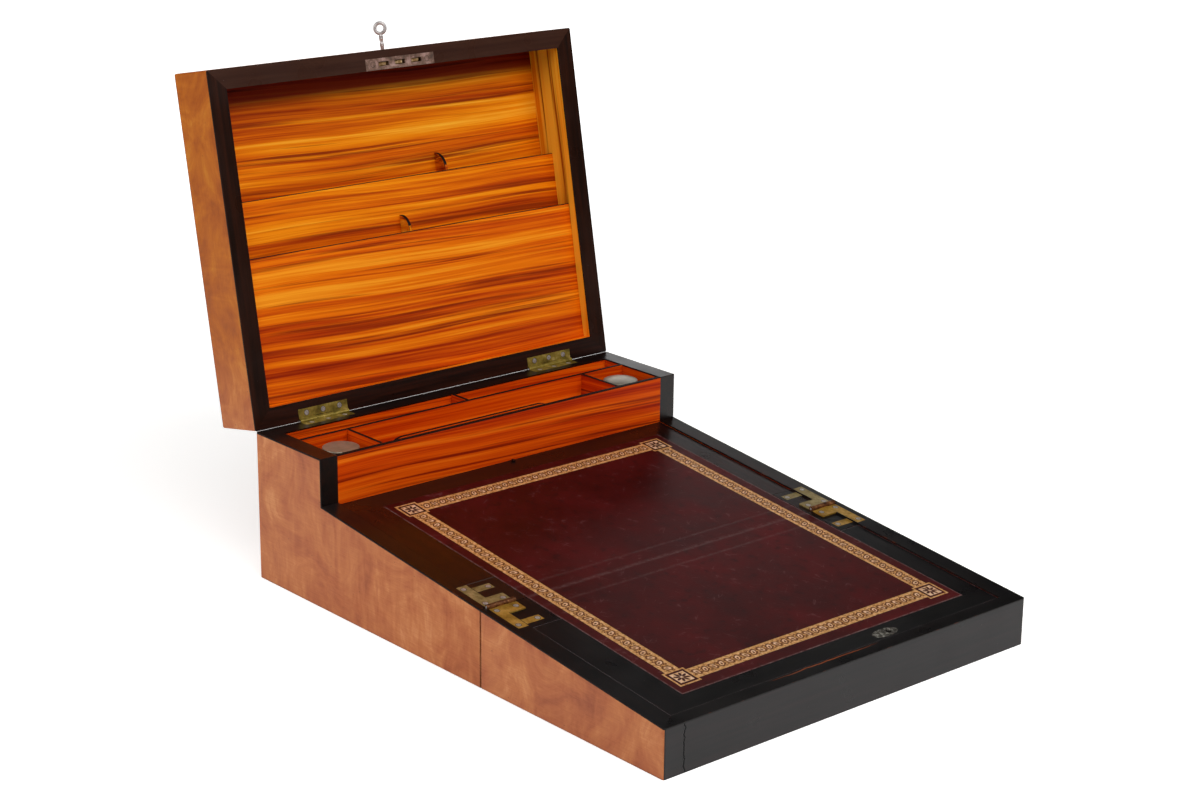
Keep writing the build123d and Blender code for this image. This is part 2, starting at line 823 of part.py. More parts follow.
def rack_partition(x, depth, back, top):
    """Short board between two dividers, its top a quarter round."""
    front_z = lid_rim_z + depth
    back_z = lid_rim_z + back
    turn = back_z - front_z
    start = top + partition_start
    path = [
        Line((lid_y(rim), front_z), (lid_y(start), front_z)),
        RadiusArc((lid_y(start), front_z), (lid_y(start + turn), back_z), turn),
        Line((lid_y(start + turn), back_z), (lid_y(rim), back_z)),
        Line((lid_y(rim), back_z), (lid_y(rim), front_z)),
    ]
    face = Plane.YZ.offset(x - partition / 2) * make_face(path)
    return extrude(face, amount=partition, dir=(1, 0, 0))


def rack():
    """Two dividers and two partitions that make four pockets for paper."""
    parts["rack_front_divider"] = swung_open(rack_divider(*front_divider))
    parts["rack_middle_divider"] = swung_open(rack_divider(*middle_divider))
    front_back = front_divider[0] + partition
    middle_back = middle_divider[0] + partition
    parts["rack_partitions"] = swung_open(
        together(
            [
                rack_partition(front_partition_x, front_back, middle_divider[0], front_divider[1]),
                rack_partition(rear_partition_x, middle_back, rack_back_depth, middle_divider[1]),
            ]
        )
    )


lid_carcass()
rack()
parts["lid_hinge_lid_leaves"] = swung_open(together(lid_lid_leaves))
parts["lock_case"] = swung_open(lock_shell_solid)
parts["lock_selvage"] = swung_open(lock_plate)
parts["lock_bolts"] = swung_open(bolts())
parts["key"] = swung_open(key())

os.makedirs("parts", exist_ok=True)
for name, shape in parts.items():
    shape.label = name
    export_step(shape, "parts/%s.step" % name)
print(len(parts), "nodes")
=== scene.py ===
import json
import math
import bpy
import bmesh
from mathutils import Matrix, Vector
from mathutils.bvhtree import BVHTree

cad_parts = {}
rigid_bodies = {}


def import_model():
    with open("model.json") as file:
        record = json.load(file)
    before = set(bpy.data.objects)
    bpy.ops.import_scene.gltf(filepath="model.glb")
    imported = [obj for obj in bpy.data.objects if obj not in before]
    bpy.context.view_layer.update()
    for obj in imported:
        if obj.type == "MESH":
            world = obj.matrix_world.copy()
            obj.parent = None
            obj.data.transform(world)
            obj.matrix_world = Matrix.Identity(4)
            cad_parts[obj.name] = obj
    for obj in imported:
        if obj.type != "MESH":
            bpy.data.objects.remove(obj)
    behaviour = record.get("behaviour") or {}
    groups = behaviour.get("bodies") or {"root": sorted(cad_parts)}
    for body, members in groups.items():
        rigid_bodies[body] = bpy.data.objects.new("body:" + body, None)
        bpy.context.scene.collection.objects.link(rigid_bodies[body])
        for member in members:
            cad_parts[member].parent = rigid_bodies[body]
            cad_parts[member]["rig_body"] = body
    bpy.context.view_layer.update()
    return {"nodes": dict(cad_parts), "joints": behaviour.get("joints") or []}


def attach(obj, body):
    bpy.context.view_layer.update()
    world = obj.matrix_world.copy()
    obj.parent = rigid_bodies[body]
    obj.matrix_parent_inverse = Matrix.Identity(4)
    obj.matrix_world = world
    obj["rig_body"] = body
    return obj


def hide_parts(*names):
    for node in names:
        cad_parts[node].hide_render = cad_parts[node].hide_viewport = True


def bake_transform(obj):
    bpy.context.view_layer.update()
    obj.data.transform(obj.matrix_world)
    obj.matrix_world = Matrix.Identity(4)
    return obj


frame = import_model()
nodes = frame["nodes"]
scene = bpy.context.scene
mm = 0.001
print("frame loaded:", len(nodes), "nodes")


# places taken from the frame
joints = {j["name"]: j for j in frame["joints"]}
jointY = joints["flap_hinge"]["pos_m"][1] / mm
foldZ = joints["flap_hinge"]["pos_m"][2] / mm
upperCreaseY = joints["upper_board_lift"]["pos_m"][1] / mm
lowerCreaseY = joints["lower_board_lift"]["pos_m"][1] / mm
upperCrease = upperCreaseY - jointY  # the creases as runs, which are distances behind the joint
lowerCrease = lowerCreaseY - jointY
lidAngle = math.radians(joints["lid_hinge"]["range_deg"][1] - 90)
lidUp = Vector((0, math.sin(lidAngle), math.cos(lidAngle)))  # up the open lid
lidBack = Vector((0, math.cos(lidAngle), -math.sin(lidAngle)))  # through its depth, away from the writer
lidAxis = Vector(joints["lid_hinge"]["pos_m"])
lidFootAt = lidAxis.dot(lidUp) / mm
lidTopAt = lidFootAt + 262  # where the lining stops under the rim
alongX = Vector((1, 0, 0))
alongY = Vector((0, 1, 0))
alongZ = Vector((0, 0, 1))


def linear(hexColour, alpha=1.0):
    # sRGB hex to the linear values that Blender's sockets take
    parts = [int(hexColour[i : i + 2], 16) / 255 for i in (1, 3, 5)]
    return [c / 12.92 if c <= 0.04045 else ((c + 0.055) / 1.055) ** 2.4 for c in parts] + [alpha]


def add(tree, kind, inputs=None, stops=None, **settings):
    # one shader node, with its settings, its colour stops and what feeds it
    node = tree.nodes.new("ShaderNode" + kind)
    for name, value in settings.items():
        setattr(node, name, value)
    for name, value in (inputs or {}).items():
        if isinstance(value, bpy.types.Node):
            colourMix = value.bl_idname == "ShaderNodeMix" and value.data_type == "RGBA"
            value = value.outputs[2 if colourMix else 0]
        if isinstance(value, bpy.types.NodeSocket):
            tree.links.new(value, node.inputs[name])
        else:
            node.inputs[name].default_value = value
    if stops:
        ramp = node.color_ramp
        for i, (place, colour) in enumerate(stops):
            element = ramp.elements[i] if i < 2 else ramp.elements.new(place)
            element.position = place
            element.color = linear(colour)
    return node


def newFinish(name, **values):
    # a material with one Principled shader, whose even values are set on its own sockets
    finish = bpy.data.materials.new(name)
    finish.use_nodes = True
    tree = finish.node_tree
    tree.nodes.clear()
    shader = add(tree, "BsdfPrincipled", values)
    add(tree, "OutputMaterial", {"Surface": shader})
    return finish, tree, shader


def grainSpace(tree, along, across, seed=0.0):
    # object coordinates in mm: x along the grain, y across it, z through the board
    here = add(tree, "TexCoord").outputs["Object"]
    through = along.cross(across)
    axes = [
        add(tree, "VectorMath", {0: here, 1: axis / mm}, operation="DOT_PRODUCT").outputs["Value"]
        for axis in (along, across, through)
    ]
    axes[2] = add(tree, "Math", {0: axes[2], 1: seed}, operation="ADD")
    return add(tree, "CombineXYZ", {0: axes[0], 1: axes[1], 2: axes[2]})


# finishes
stripedWoodLook = {
    # zebrano-like veneer, french polished: glowing orange bands crossed by fine dark veins along the board
    "stops": [(0.36, "#8A2200"), (0.43, "#BC4600"), (0.49, "#DA6600"), (0.55, "#F08806"), (0.63, "#FFB430")],
    "veins": "#8A2E02",
    # the colour multiplied in as the painted shadow under the lid's rim
    "shaded": "#7C4024",
    "bandWidth": 24.0,
    "stripeWidth": 8.0,
    "veinWidth": 2.6,
    "fibreWidth": 0.8,  # real fibres are finer, and are drawn this wide so that they show
    "drift": 4.0,  # how far a band wanders to each side
    "slant": 0.022,
    "roughness": 0.42,
}


def stripedWood(name, along, across, seed, tint="#FFFFFF", bandWidth=None, shade=None, lift=0.0):
    look = stripedWoodLook
    finish, tree, shader = newFinish(name, **{"Specular IOR Level": 0.07})
    grain = grainSpace(tree, along, across, seed)
    split = add(tree, "SeparateXYZ", {0: grain})
    slow = add(tree, "VectorMath", {0: grain, 1: (0.0030, 0.010, 0.01)}, operation="MULTIPLY")
    wander = add(tree, "TexNoise", {"Vector": slow, "Scale": 1.0, "Detail": 1.0})
    drift = add(tree, "MapRange", {0: wander, 1: 0.3, 2: 0.7, 3: -look["drift"], 4: look["drift"]})
    slant = add(tree, "Math", {0: split.outputs[0], 1: look["slant"]}, operation="MULTIPLY")
    drifted = add(tree, "Math", {0: split.outputs[1], 1: drift}, operation="ADD")
    drifted = add(tree, "Math", {0: drifted, 1: slant}, operation="ADD")
    bent = add(tree, "CombineXYZ", {0: split.outputs[0], 1: drifted, 2: split.outputs[2]})
    widths = (bandWidth or look["bandWidth"], look["stripeWidth"], look["veinWidth"], look["fibreWidth"])
    stretches = (0.0012, 0.0022, 0.005, 0.02)
    layers = []
    for width, stretch in zip(widths, stretches):
        place = add(tree, "VectorMath", {0: bent, 1: (stretch, 1 / width, 0.05)}, operation="MULTIPLY")
        layers.append(add(tree, "TexNoise", {"Vector": place, "Scale": 1.0, "Detail": 1.5, "Roughness": 0.5}))
    level = layers[0]
    for layer, share in zip(layers[1:], (0.42, 0.3, 0.12)):
        level = add(tree, "Mix", {0: share, 2: level, 3: layer}, data_type="FLOAT")
    # lift raises the whole pattern, as painted light
    level = add(tree, "Math", {0: level, 1: lift}, operation="ADD")
    colour = add(tree, "ValToRGB", {0: level}, stops=look["stops"])
    veinPlace = add(tree, "VectorMath", {0: bent, 1: (0.003, 0.20, 0.07)}, operation="MULTIPLY")
    veins = add(tree, "TexNoise", {"Vector": veinPlace, "Scale": 1.0, "Detail": 3.0, "Roughness": 0.6})
    vein = add(tree, "MapRange", {0: veins, 1: 0.535, 2: 0.64, 3: 0.0, 4: 0.95})
    colour = add(tree, "Mix", {0: vein, 6: colour, 7: linear(look["veins"])}, data_type="RGBA")
    # tint multiplies a copy's colour, which in the tray and the wells is painted shade
    colour = add(tree, "Mix", {0: 1.0, 6: colour, 7: linear(tint)}, data_type="RGBA", blend_type="MULTIPLY")
    if shade:
        # painted shadow of the rim, which starts between two places across the grain
        deep = add(tree, "MapRange", {0: split.outputs[1], 1: shade[0], 2: shade[1], 3: 0.0, 4: 1.0})
        shaded = {0: deep, 6: colour, 7: linear(look["shaded"])}
        colour = add(tree, "Mix", shaded, data_type="RGBA", blend_type="MULTIPLY")
    tree.links.new(colour.outputs[2], shader.inputs["Base Color"])
    glossy, dull = look["roughness"] - 0.06, look["roughness"] + 0.1
    gloss = add(tree, "MapRange", {0: layers[3], 1: 0.3, 2: 0.7, 3: glossy, 4: dull})
    tree.links.new(gloss.outputs[0], shader.inputs["Roughness"])
    bump = add(tree, "Bump", {"Height": layers[3], "Strength": 0.25, "Distance": 0.00008})
    tree.links.new(bump.outputs[0], shader.inputs["Normal"])
    return finish


satinVeneerLook = {
    # satin birch under an old polish: soft irregular clouds, faint curl in patches and small dark specks
    "pink": [(0.34, "#90482A"), (0.45, "#AC6038"), (0.55, "#BC7244"), (0.67, "#D2905E")],
    "golden": [(0.34, "#864004"), (0.45, "#A25008"), (0.55, "#B46212"), (0.67, "#C47C24")],
    "specks": "#5E3420",
    "dirt": "#1E0C06",
    "dirtWidth": (1.0, 1.5),  # solid and faded, either side of the joint
    "curlWidth": 7.0,
    "cloudSize": 46.0,
}


def satinVeneer(name, along, across, seed, stops="pink", stained=None, faded=None):
    look = satinVeneerLook
    finish, tree, shader = newFinish(name, **{"Specular IOR Level": 0.2})
    grain = grainSpace(tree, along, across, seed)
    perCloud = 1 / look["cloudSize"]
    slow = add(tree, "VectorMath", {0: grain, 1: (perCloud, perCloud, 0.02)}, operation="MULTIPLY")
    clouds = {"Vector": slow, "Scale": 1.0, "Detail": 9.0, "Roughness": 0.68, "Distortion": 0.8}
    cloud = add(tree, "TexNoise", clouds)
    patches = add(tree, "TexNoise", {"Vector": slow, "Scale": 0.6, "Detail": 2.0})
    perCurl = 1 / look["curlWidth"]
    curlPlace = add(tree, "VectorMath", {0: grain, 1: (perCurl, 0.028, 0.03)}, operation="MULTIPLY")
    curl = add(tree, "TexNoise", {"Vector": curlPlace, "Scale": 1.0, "Detail": 2.0, "Distortion": 0.6})
    where = add(tree, "MapRange", {0: patches, 1: 0.42, 2: 0.60, 3: 0.05, 4: 0.30})
    level = add(tree, "Mix", {0: where, 2: cloud, 3: curl}, data_type="FLOAT")
    fine = add(tree, "VectorMath", {0: grain, 1: (0.06, 1.1, 1.1)}, operation="MULTIPLY")
    fibres = add(tree, "TexNoise", {"Vector": fine, "Scale": 1.0, "Detail": 3.0})
    level = add(tree, "Mix", {0: 0.12, 2: level, 3: fibres}, data_type="FLOAT")
    colour = add(tree, "ValToRGB", {0: level}, stops=look[stops])
    run = add(tree, "SeparateXYZ", {0: grain}).outputs[0]
    if faded:
        # the golden polish turns pink towards the low end of the board
        pinkened = add(tree, "MapRange", {0: run, 1: faded[0], 2: faded[1], 3: 0.8, 4: 0.0})
        pinkColour = add(tree, "ValToRGB", {0: level}, stops=look["pink"])
        colour = add(tree, "Mix", {0: pinkened, 6: colour, 7: pinkColour}, data_type="RGBA")
    speckPlace = add(tree, "VectorMath", {0: grain, 1: (0.08, 0.11, 0.11)}, operation="MULTIPLY")
    specks = add(tree, "TexVoronoi", {"Vector": speckPlace, "Scale": 1.0, "Randomness": 1.0})
    speck = add(tree, "MapRange", {0: specks.outputs["Distance"], 1: 0.03, 2: 0.06, 3: 0.6, 4: 0.0})
    colour = add(tree, "Mix", {0: speck, 6: colour, 7: linear(look["specks"])}, data_type="RGBA")
    if stained is not None:
        # dirt has crept along the grain from the edges of the joint
        away = add(tree, "Math", {0: run, 1: stained}, operation="SUBTRACT")
        away = add(tree, "Math", {0: away}, operation="ABSOLUTE")
        ragged = add(tree, "Math", {0: fibres, 1: 0.9}, operation="MULTIPLY")
        away = add(tree, "Math", {0: away, 1: ragged}, operation="ADD")
        solid, fadedOut = look["dirtWidth"]
        dirt = add(tree, "MapRange", {0: away, 1: solid, 2: fadedOut, 3: 0.94, 4: 0.0})
        colour = add(tree, "Mix", {0: dirt, 6: colour, 7: linear(look["dirt"])}, data_type="RGBA")
    tree.links.new(colour.outputs[2], shader.inputs["Base Color"])
    gloss = add(tree, "MapRange", {0: cloud, 1: 0.3, 2: 0.7, 3: 0.42, 4: 0.55})
    tree.links.new(gloss.outputs[0], shader.inputs["Roughness"])
    bump = add(tree, "Bump", {"Height": fibres, "Strength": 0.2, "Distance": 0.00008})
    tree.links.new(bump.outputs[0], shader.inputs["Normal"])
    return finish


ebonisedWoodLook = {
    # stained hardwood under shellac: near black, with brown in its grain, a little dust and soft reflections
    "dark": ("#0B0504", "#1E0C06"),
    "dust": "#6A5E58",
    "bareWood": "#8A4018",
    "crack": "#030202",
    "scarWander": 1.3,  # how far the split and the crack stray to each side, and how wide they are
    "scarWidth": (0.15, 0.6),
    "scarEnd": 14.0,  # it thins out over this length
    "crackWander": 2.2,
    "crackWidth": (0.35, 0.7),
}


def ebonisedWood(name, along, across, seed, colours=None, gloss=0.3, crack=None, scar=None):
    look = ebonisedWoodLook
    finish, tree, shader = newFinish(name, **{"Specular IOR Level": gloss})
    grain = grainSpace(tree, along, across, seed)
    place = add(tree, "VectorMath", {0: grain, 1: (0.01, 0.22, 0.22)}, operation="MULTIPLY")
    streaks = add(tree, "TexNoise", {"Vector": place, "Scale": 1.0, "Detail": 4.0, "Roughness": 0.6})
    dark, brown = colours or look["dark"]
    colour = add(tree, "ValToRGB", {0: streaks}, stops=[(0.38, dark), (0.72, brown)])
    dustPlace = add(tree, "VectorMath", {0: grain, "Scale": 0.09}, operation="SCALE")
    dust = add(tree, "TexVoronoi", {"Vector": dustPlace, "Scale": 1.0, "Randomness": 1.0})
    speck = add(tree, "MapRange", {0: dust.outputs["Distance"], 1: 0.015, 2: 0.04, 3: 0.45, 4: 0.0})
    colour = add(tree, "Mix", {0: speck, 6: colour, 7: linear(look["dust"])}, data_type="RGBA")
    split = add(tree, "SeparateXYZ", {0: grain})
    if scar:
        # an old split along the grain, at one place across it, with bare wood showing for part of its length
        at, low, high = scar
        row = add(tree, "CombineXYZ", {0: split.outputs[0]})
        wander = add(tree, "TexNoise", {"Vector": row, "Scale": 0.03, "Detail": 6.0})
        stray = look["scarWander"]
        place = add(tree, "MapRange", {0: wander, 1: 0.3, 2: 0.7, 3: at - stray, 4: at + stray})
        away = add(tree, "Math", {0: split.outputs[1], 1: place}, operation="SUBTRACT")
        away = add(tree, "Math", {0: away}, operation="ABSOLUTE")
        narrow, wide = look["scarWidth"]
        line = add(tree, "MapRange", {0: away, 1: narrow, 2: wide, 3: 1.0, 4: 0.0})
        fromMiddle = add(tree, "Math", {0: split.outputs[0], 1: (low + high) / 2}, operation="SUBTRACT")
        fromMiddle = add(tree, "Math", {0: fromMiddle}, operation="ABSOLUTE")
        half = (high - low) / 2
        ends = add(tree, "MapRange", {0: fromMiddle, 1: half - look["scarEnd"], 2: half, 3: 1.0, 4: 0.0})
        broken = add(tree, "MapRange", {0: streaks, 1: 0.44, 2: 0.54, 3: 0.1, 4: 1.0})
        bare = add(tree, "Math", {0: line, 1: ends}, operation="MULTIPLY")
        bare = add(tree, "Math", {0: bare, 1: broken}, operation="MULTIPLY")
        colour = add(tree, "Mix", {0: bare, 6: colour, 7: linear(look["bareWood"])}, data_type="RGBA")
    cloud = add(tree, "TexNoise", {"Vector": dustPlace, "Scale": 0.35, "Detail": 2.0})
    sheen = add(tree, "MapRange", {0: cloud, 1: 0.2, 2: 0.8, 3: 0.24, 4: 0.40})
    bump = add(tree, "Bump", {"Height": streaks, "Strength": 0.15, "Distance": 0.0001})
    if crack is not None:
        # the open seam of the corner joint, which wanders up the board at one place along it
        rise = add(tree, "CombineXYZ", {0: split.outputs[1], 1: split.outputs[2]})
        wander = add(tree, "TexNoise", {"Vector": rise, "Scale": 0.16, "Detail": 4.0, "Roughness": 0.7})
        stray = look["crackWander"]
        place = add(tree, "MapRange", {0: wander, 1: 0.2, 2: 0.8, 3: crack - stray, 4: crack + stray})
        away = add(tree, "Math", {0: split.outputs[0], 1: place}, operation="SUBTRACT")
        away = add(tree, "Math", {0: away}, operation="ABSOLUTE")
        narrow, wide = look["crackWidth"]
        seam = add(tree, "MapRange", {0: away, 1: narrow, 2: wide, 3: 1.0, 4: 0.0})
        colour = add(tree, "Mix", {0: seam, 6: colour, 7: linear(look["crack"])}, data_type="RGBA")
        sheen = add(tree, "Math", {0: seam, 1: sheen}, operation="MAXIMUM")
        groove = {"Height": seam, "Strength": 1.0, "Distance": 0.0006, "Normal": bump}
        bump = add(tree, "Bump", groove, invert=True)
    tree.links.new(colour.outputs[2], shader.inputs["Base Color"])
    tree.links.new(sheen.outputs[0], shader.inputs["Roughness"])
    tree.links.new(bump.outputs[0], shader.inputs["Normal"])
    return finish


def rubbedAndHighlitArris(name, under, over, worn, share):
    # an edge that hands have rubbed: patches of the wood underneath and pale knocks through the finish, on an
    # over colour that is a painted highlight on the board borders
    finish, tree, shader = newFinish(name, Roughness=0.55, **{"Specular IOR Level": 0.15})
    here = add(tree, "TexCoord").outputs["Object"]
    place = add(tree, "VectorMath", {0: here, "Scale": 260.0}, operation="SCALE")
    patches = add(tree, "TexNoise", {"Vector": place, "Scale": 0.35, "Detail": 6.0, "Roughness": 0.7})
    bare = add(tree, "MapRange", {0: patches, 1: 0.62 - share, 2: 0.70 - share, 3: 0.0, 4: 1.0})
    knocks = add(tree, "TexNoise", {"Vector": place, "Scale": 0.8, "Detail": 4.0, "Roughness": 0.8})
    knock = add(tree, "MapRange", {0: knocks, 1: 0.70, 2: 0.74, 3: 0.0, 4: 0.8})
    colour = add(tree, "Mix", {0: bare, 6: linear(over), 7: linear(under)}, data_type="RGBA")
    colour = add(tree, "Mix", {0: knock, 6: colour, 7: linear(worn)}, data_type="RGBA")
    tree.links.new(colour.outputs[2], shader.inputs["Base Color"])
    return finish


def planedPine(name):
    # planed pine of the hidden carcass, stained brown: soft rings, no polish
    finish, tree, shader = newFinish(name, Roughness=0.65, **{"Specular IOR Level": 0.2})
    grain = grainSpace(tree, alongX, alongY)
    place = add(tree, "VectorMath", {0: grain, 1: (0.008, 0.3, 0.3)}, operation="MULTIPLY")
    rings = add(tree, "TexNoise", {"Vector": place, "Scale": 1.0, "Detail": 3.0})
    colour = add(tree, "ValToRGB", {0: rings}, stops=[(0.35, "#542A16"), (0.65, "#7E4A2A")])
    tree.links.new(colour.outputs[0], shader.inputs["Base Color"])
    return finish


def agedMetal(name, stops, roughness, size, metallic=1.0, bump=0.3):
    # cast or rolled metal with handling wear: bright where rubbed, dull and darker where it tarnished
    finish, tree, shader = newFinish(name, Metallic=metallic)
    here = add(tree, "TexCoord").outputs["Object"]
    place = add(tree, "VectorMath", {0: here, "Scale": 1 / (size * mm)}, operation="SCALE")
    blotch = add(tree, "TexNoise", {"Vector": place, "Scale": 1.0, "Detail": 5.0, "Roughness": 0.65})
    colour = add(tree, "ValToRGB", {0: blotch}, stops=stops)
    tree.links.new(colour.outputs[0], shader.inputs["Base Color"])
    gloss = add(tree, "MapRange", {0: blotch, 1: 0.3, 2: 0.7, 3: roughness[1], 4: roughness[0]})
    tree.links.new(gloss.outputs[0], shader.inputs["Roughness"])
    if bump:
        dents = add(tree, "Bump", {"Height": blotch, "Strength": bump, "Distance": 0.00012})
        tree.links.new(dents.outputs[0], shader.inputs["Normal"])
    return finish


def plainFinish(name, colour, **values):
    # one flat colour, for edges and hollows too narrow to show a pattern
    return newFinish(name, **{"Base Color": linear(colour)}, **values)[0]


# the carcass's show veneer, one finish for each way its grain runs
veneerBase = satinVeneer("Satin birch veneer", alongY, alongZ, 0.0, stained=jointY)
fade = (lidFootAt, lidFootAt + 72)
veneerLid = satinVeneer("Satin birch veneer, golden", lidUp, lidBack, 37.0, "golden", faded=fade)
veneerBack = satinVeneer("Satin birch veneer, back", alongX, alongZ, 91.0)
veneerFront = satinVeneer("Satin birch veneer, front", alongX, alongZ, 12.0)
veneerLidTop = satinVeneer("Satin birch veneer, lid top", alongX, lidUp, 64.0)
veneerArris = rubbedAndHighlitArris("Veneer arris, darkened", "#A87A52", "#7A4228", "#D0B090", 0.04)

# the striped linings: most glowing in the lid, redder and darker in the tray and dark in the wells, both as
# painted shade
# painted shadow of the rim across the top of the lid's lining
rimShade = (lidTopAt - 21, lidTopAt - 13)
stripedLid = stripedWood("Striped veneer, lid", alongX, lidUp, 17.0, shade=rimShade)
stripedMiddle = stripedWood("Striped veneer, middle divider", alongX, lidUp, 73.0)
stripedRack = stripedWood("Striped veneer, rack front", alongX, lidUp, 131.0, "#F9DEB4")
# the lid's side linings are lifted brighter as painted light, where the lamps leave them in shade
stripedLidSide = stripedWood("Striped veneer, lid sides", lidUp, lidBack, 11.0, bandWidth=9.0, lift=0.07)
# the tray's copies are tinted redder and darker as painted shade
stripedFront = stripedWood("Striped veneer, fascia", alongX, alongZ, 23.0, "#F0A680")
stripedFloor = stripedWood("Striped veneer, tray floor", alongX, alongY, 31.0, "#EEA27C")
stripedCross = stripedWood("Striped veneer, cross pieces", alongY, alongZ, 47.0, "#EEA27C")
# the wells' copies are painted dark as shade, where they show through the gap beside the boards
wellFront = stripedWood("Striped veneer, wells, painted shade", alongX, alongZ, 53.0, "#6A3624")
wellCross = stripedWood("Striped veneer, well sides, painted shade", alongY, alongZ, 59.0, "#6A3624")

# the ebonised facings: brown-black by the tray and in the lid, coldest and blackest on the flap
flapBlack = ("#040303", "#0C0807")
scarBlack = ("#040303", "#0E0807")
stripBlack = ("#040304", "#0E0807")
frontBlack = ("#0C0809", "#1C1011")
rimBlack = ("#180A06", "#34160C")
rimTopBlack = ("#331C14", "#3E251B")
rimSideBlack = ("#180904", "#301408")
boardBlack = ("#0E0403", "#260A04")
split = {"gloss": 0.22, "scar": (-319.0, -76.0, 32.0)}  # across the grain, then its ends along it
blackWood = ebonisedWood("Ebonised wood", alongX, alongY, 5.0)
blackWoodLong = ebonisedWood("Ebonised wood, long strips", alongY, alongX, 15.0)
blackWoodFlap = ebonisedWood("Ebonised wood, flap", alongX, alongY, 65.0, flapBlack, 0.22)
blackWoodScar = ebonisedWood("Ebonised wood, split border", alongX, alongY, 85.0, scarBlack, **split)
blackWoodFlapLong = ebonisedWood("Ebonised wood, flap strips", alongY, alongX, 75.0, stripBlack, 0.22)
blackWoodFront = ebonisedWood("Ebonised wood, flap front", alongX, alongZ, 55.0, frontBlack, crack=-160.5)
blackWoodRim = ebonisedWood("Ebonised wood, lid rim", alongX, lidUp, 45.0, rimBlack, 0.14)
blackWoodTop = ebonisedWood("Ebonised wood, top of the lid rim", alongX, lidUp, 95.0, rimTopBlack, 0.14)
blackWoodLid = ebonisedWood("Ebonised wood, lid rim sides", lidUp, alongX, 25.0, rimSideBlack, 0.14)
blackWoodBoard = ebonisedWood("Ebonised wood, board border", alongY, alongX, 35.0, boardBlack)
blackArris = rubbedAndHighlitArris("Ebonised arris, rubbed", "#5A2812", "#120A08", "#8A7A70", 0.04)
# the board borders' arrises are grey as a painted highlight, paler on the lower board, with rubbed patches
boardArris = rubbedAndHighlitArris("Painted highlight and rubbing, board arris", "#5A2812", "#3A3230", "#8A7A70", 0.0)
paleArris = rubbedAndHighlitArris("Pale painted highlight and rubbing, lower board arris", "#5A2812", "#74686A", "#8A7A70", 0.0)
# thin flat lines round the linings
edgeValues = {"Roughness": 0.6, "Specular IOR Level": 0.15}
blackEdge = plainFinish("Blackened board edge", "#0C0605", **edgeValues)
# keeps the joint a plain dark line
jointValues = {"Roughness": 0.8, "Specular IOR Level": 0.02}
jointEdge = plainFinish("Darkened joint edge", "#120704", **jointValues)
pine = planedPine("Stained pine")

# brass of the flap's slope leaves, kept yellow and bright by handling
brassColours = [(0.3, "#86601C"), (0.45, "#AE8230"), (0.6, "#CC9E46"), (0.75, "#E8C47C")]
brass = agedMetal("Aged brass", brassColours, (0.3, 0.5), 9.0, 0.6)
# rolled brass of the lid hinges, olive where it is never touched
lidBrassColours = [(0.3, "#5C4C18"), (0.45, "#84702A"), (0.6, "#A89040"), (0.75, "#D8BE78")]
lidBrass = agedMetal("Aged brass, lid hinges", lidBrassColours, (0.34, 0.5), 8.0, 0.6)
# the base's slope leaves, greyer and duller
dullBrassColours = [(0.3, "#7A6638"), (0.5, "#A08C58"), (0.7, "#C0AC78")]
dullBrass = agedMetal("Tarnished brass", dullBrassColours, (0.36, 0.55), 7.0, 0.65)
# knuckles stained red-brown by the iron pin
rustColours = [(0.3, "#2A160C"), (0.5, "#6A3E20"), (0.7, "#A87448")]
rustedBrass = agedMetal("Rusted knuckles", rustColours, (0.4, 0.6), 5.0, 0.7, 0.1)
# filed steel of key and pins, grey with light worn places
steelColours = [(0.3, "#9C9492"), (0.5, "#C0B8B6"), (0.7, "#E2DCD8")]
steel = agedMetal("Worn steel", steelColours, (0.3, 0.45), 5.0, 0.6)
# turned heads, pale dots on the brass
screwColours = [(0.3, "#8E8478"), (0.5, "#B4AAA2"), (0.7, "#E4DCD4")]
screwSteel = agedMetal("Screw heads", screwColours, (0.25, 0.4), 2.0, 0.6)
slotShadeAndDirt = plainFinish("Painted shade with dirt, screw slots", "#1A120C", Roughness=0.8)  # painted shade with some dirt, outlining each head and its slot
# nickel plate worn through to a pinkish bronze
nickelColours = [(0.34, "#4E382C"), (0.5, "#745648"), (0.66, "#A6847A")]
nickel = agedMetal("Nickel plate, lock", nickelColours, (0.4, 0.5), 6.0, 0.2)
# bolt ends, brown at the edges and pale where they rub
boltColours = [(0.34, "#5E3C1C"), (0.5, "#94703F"), (0.66, "#D2B488")]
boltBrass = agedMetal("Brass bolts", boltColours, (0.4, 0.5), 5.0, 0.3)
# the catch's small plate, blotched from black to pale grey
catchColours = [(0.36, "#2C2824"), (0.52, "#6A665C"), (0.66, "#CCC8BC")]
darkSteel = agedMetal("Tarnished steel, catch", catchColours, (0.3, 0.6), 3.0, 0.7)
# thin plate on the caps, an even warm grey
silverColours = [(0.3, "#767060"), (0.5, "#918A78"), (0.7, "#ACA694")]
silver = agedMetal("Tarnished silver plate", silverColours, (0.3, 0.4), 30.0, 0.6, 0.0)
# pressed bottle glass, a little green, bright at its facets
glassValues = {"Base Color": linear("#E4EFE8"), "Transmission Weight": 1.0}
glass = newFinish("Bottle glass", IOR=1.5, Roughness=0.04, **glassValues)[0]
print("finishes made")


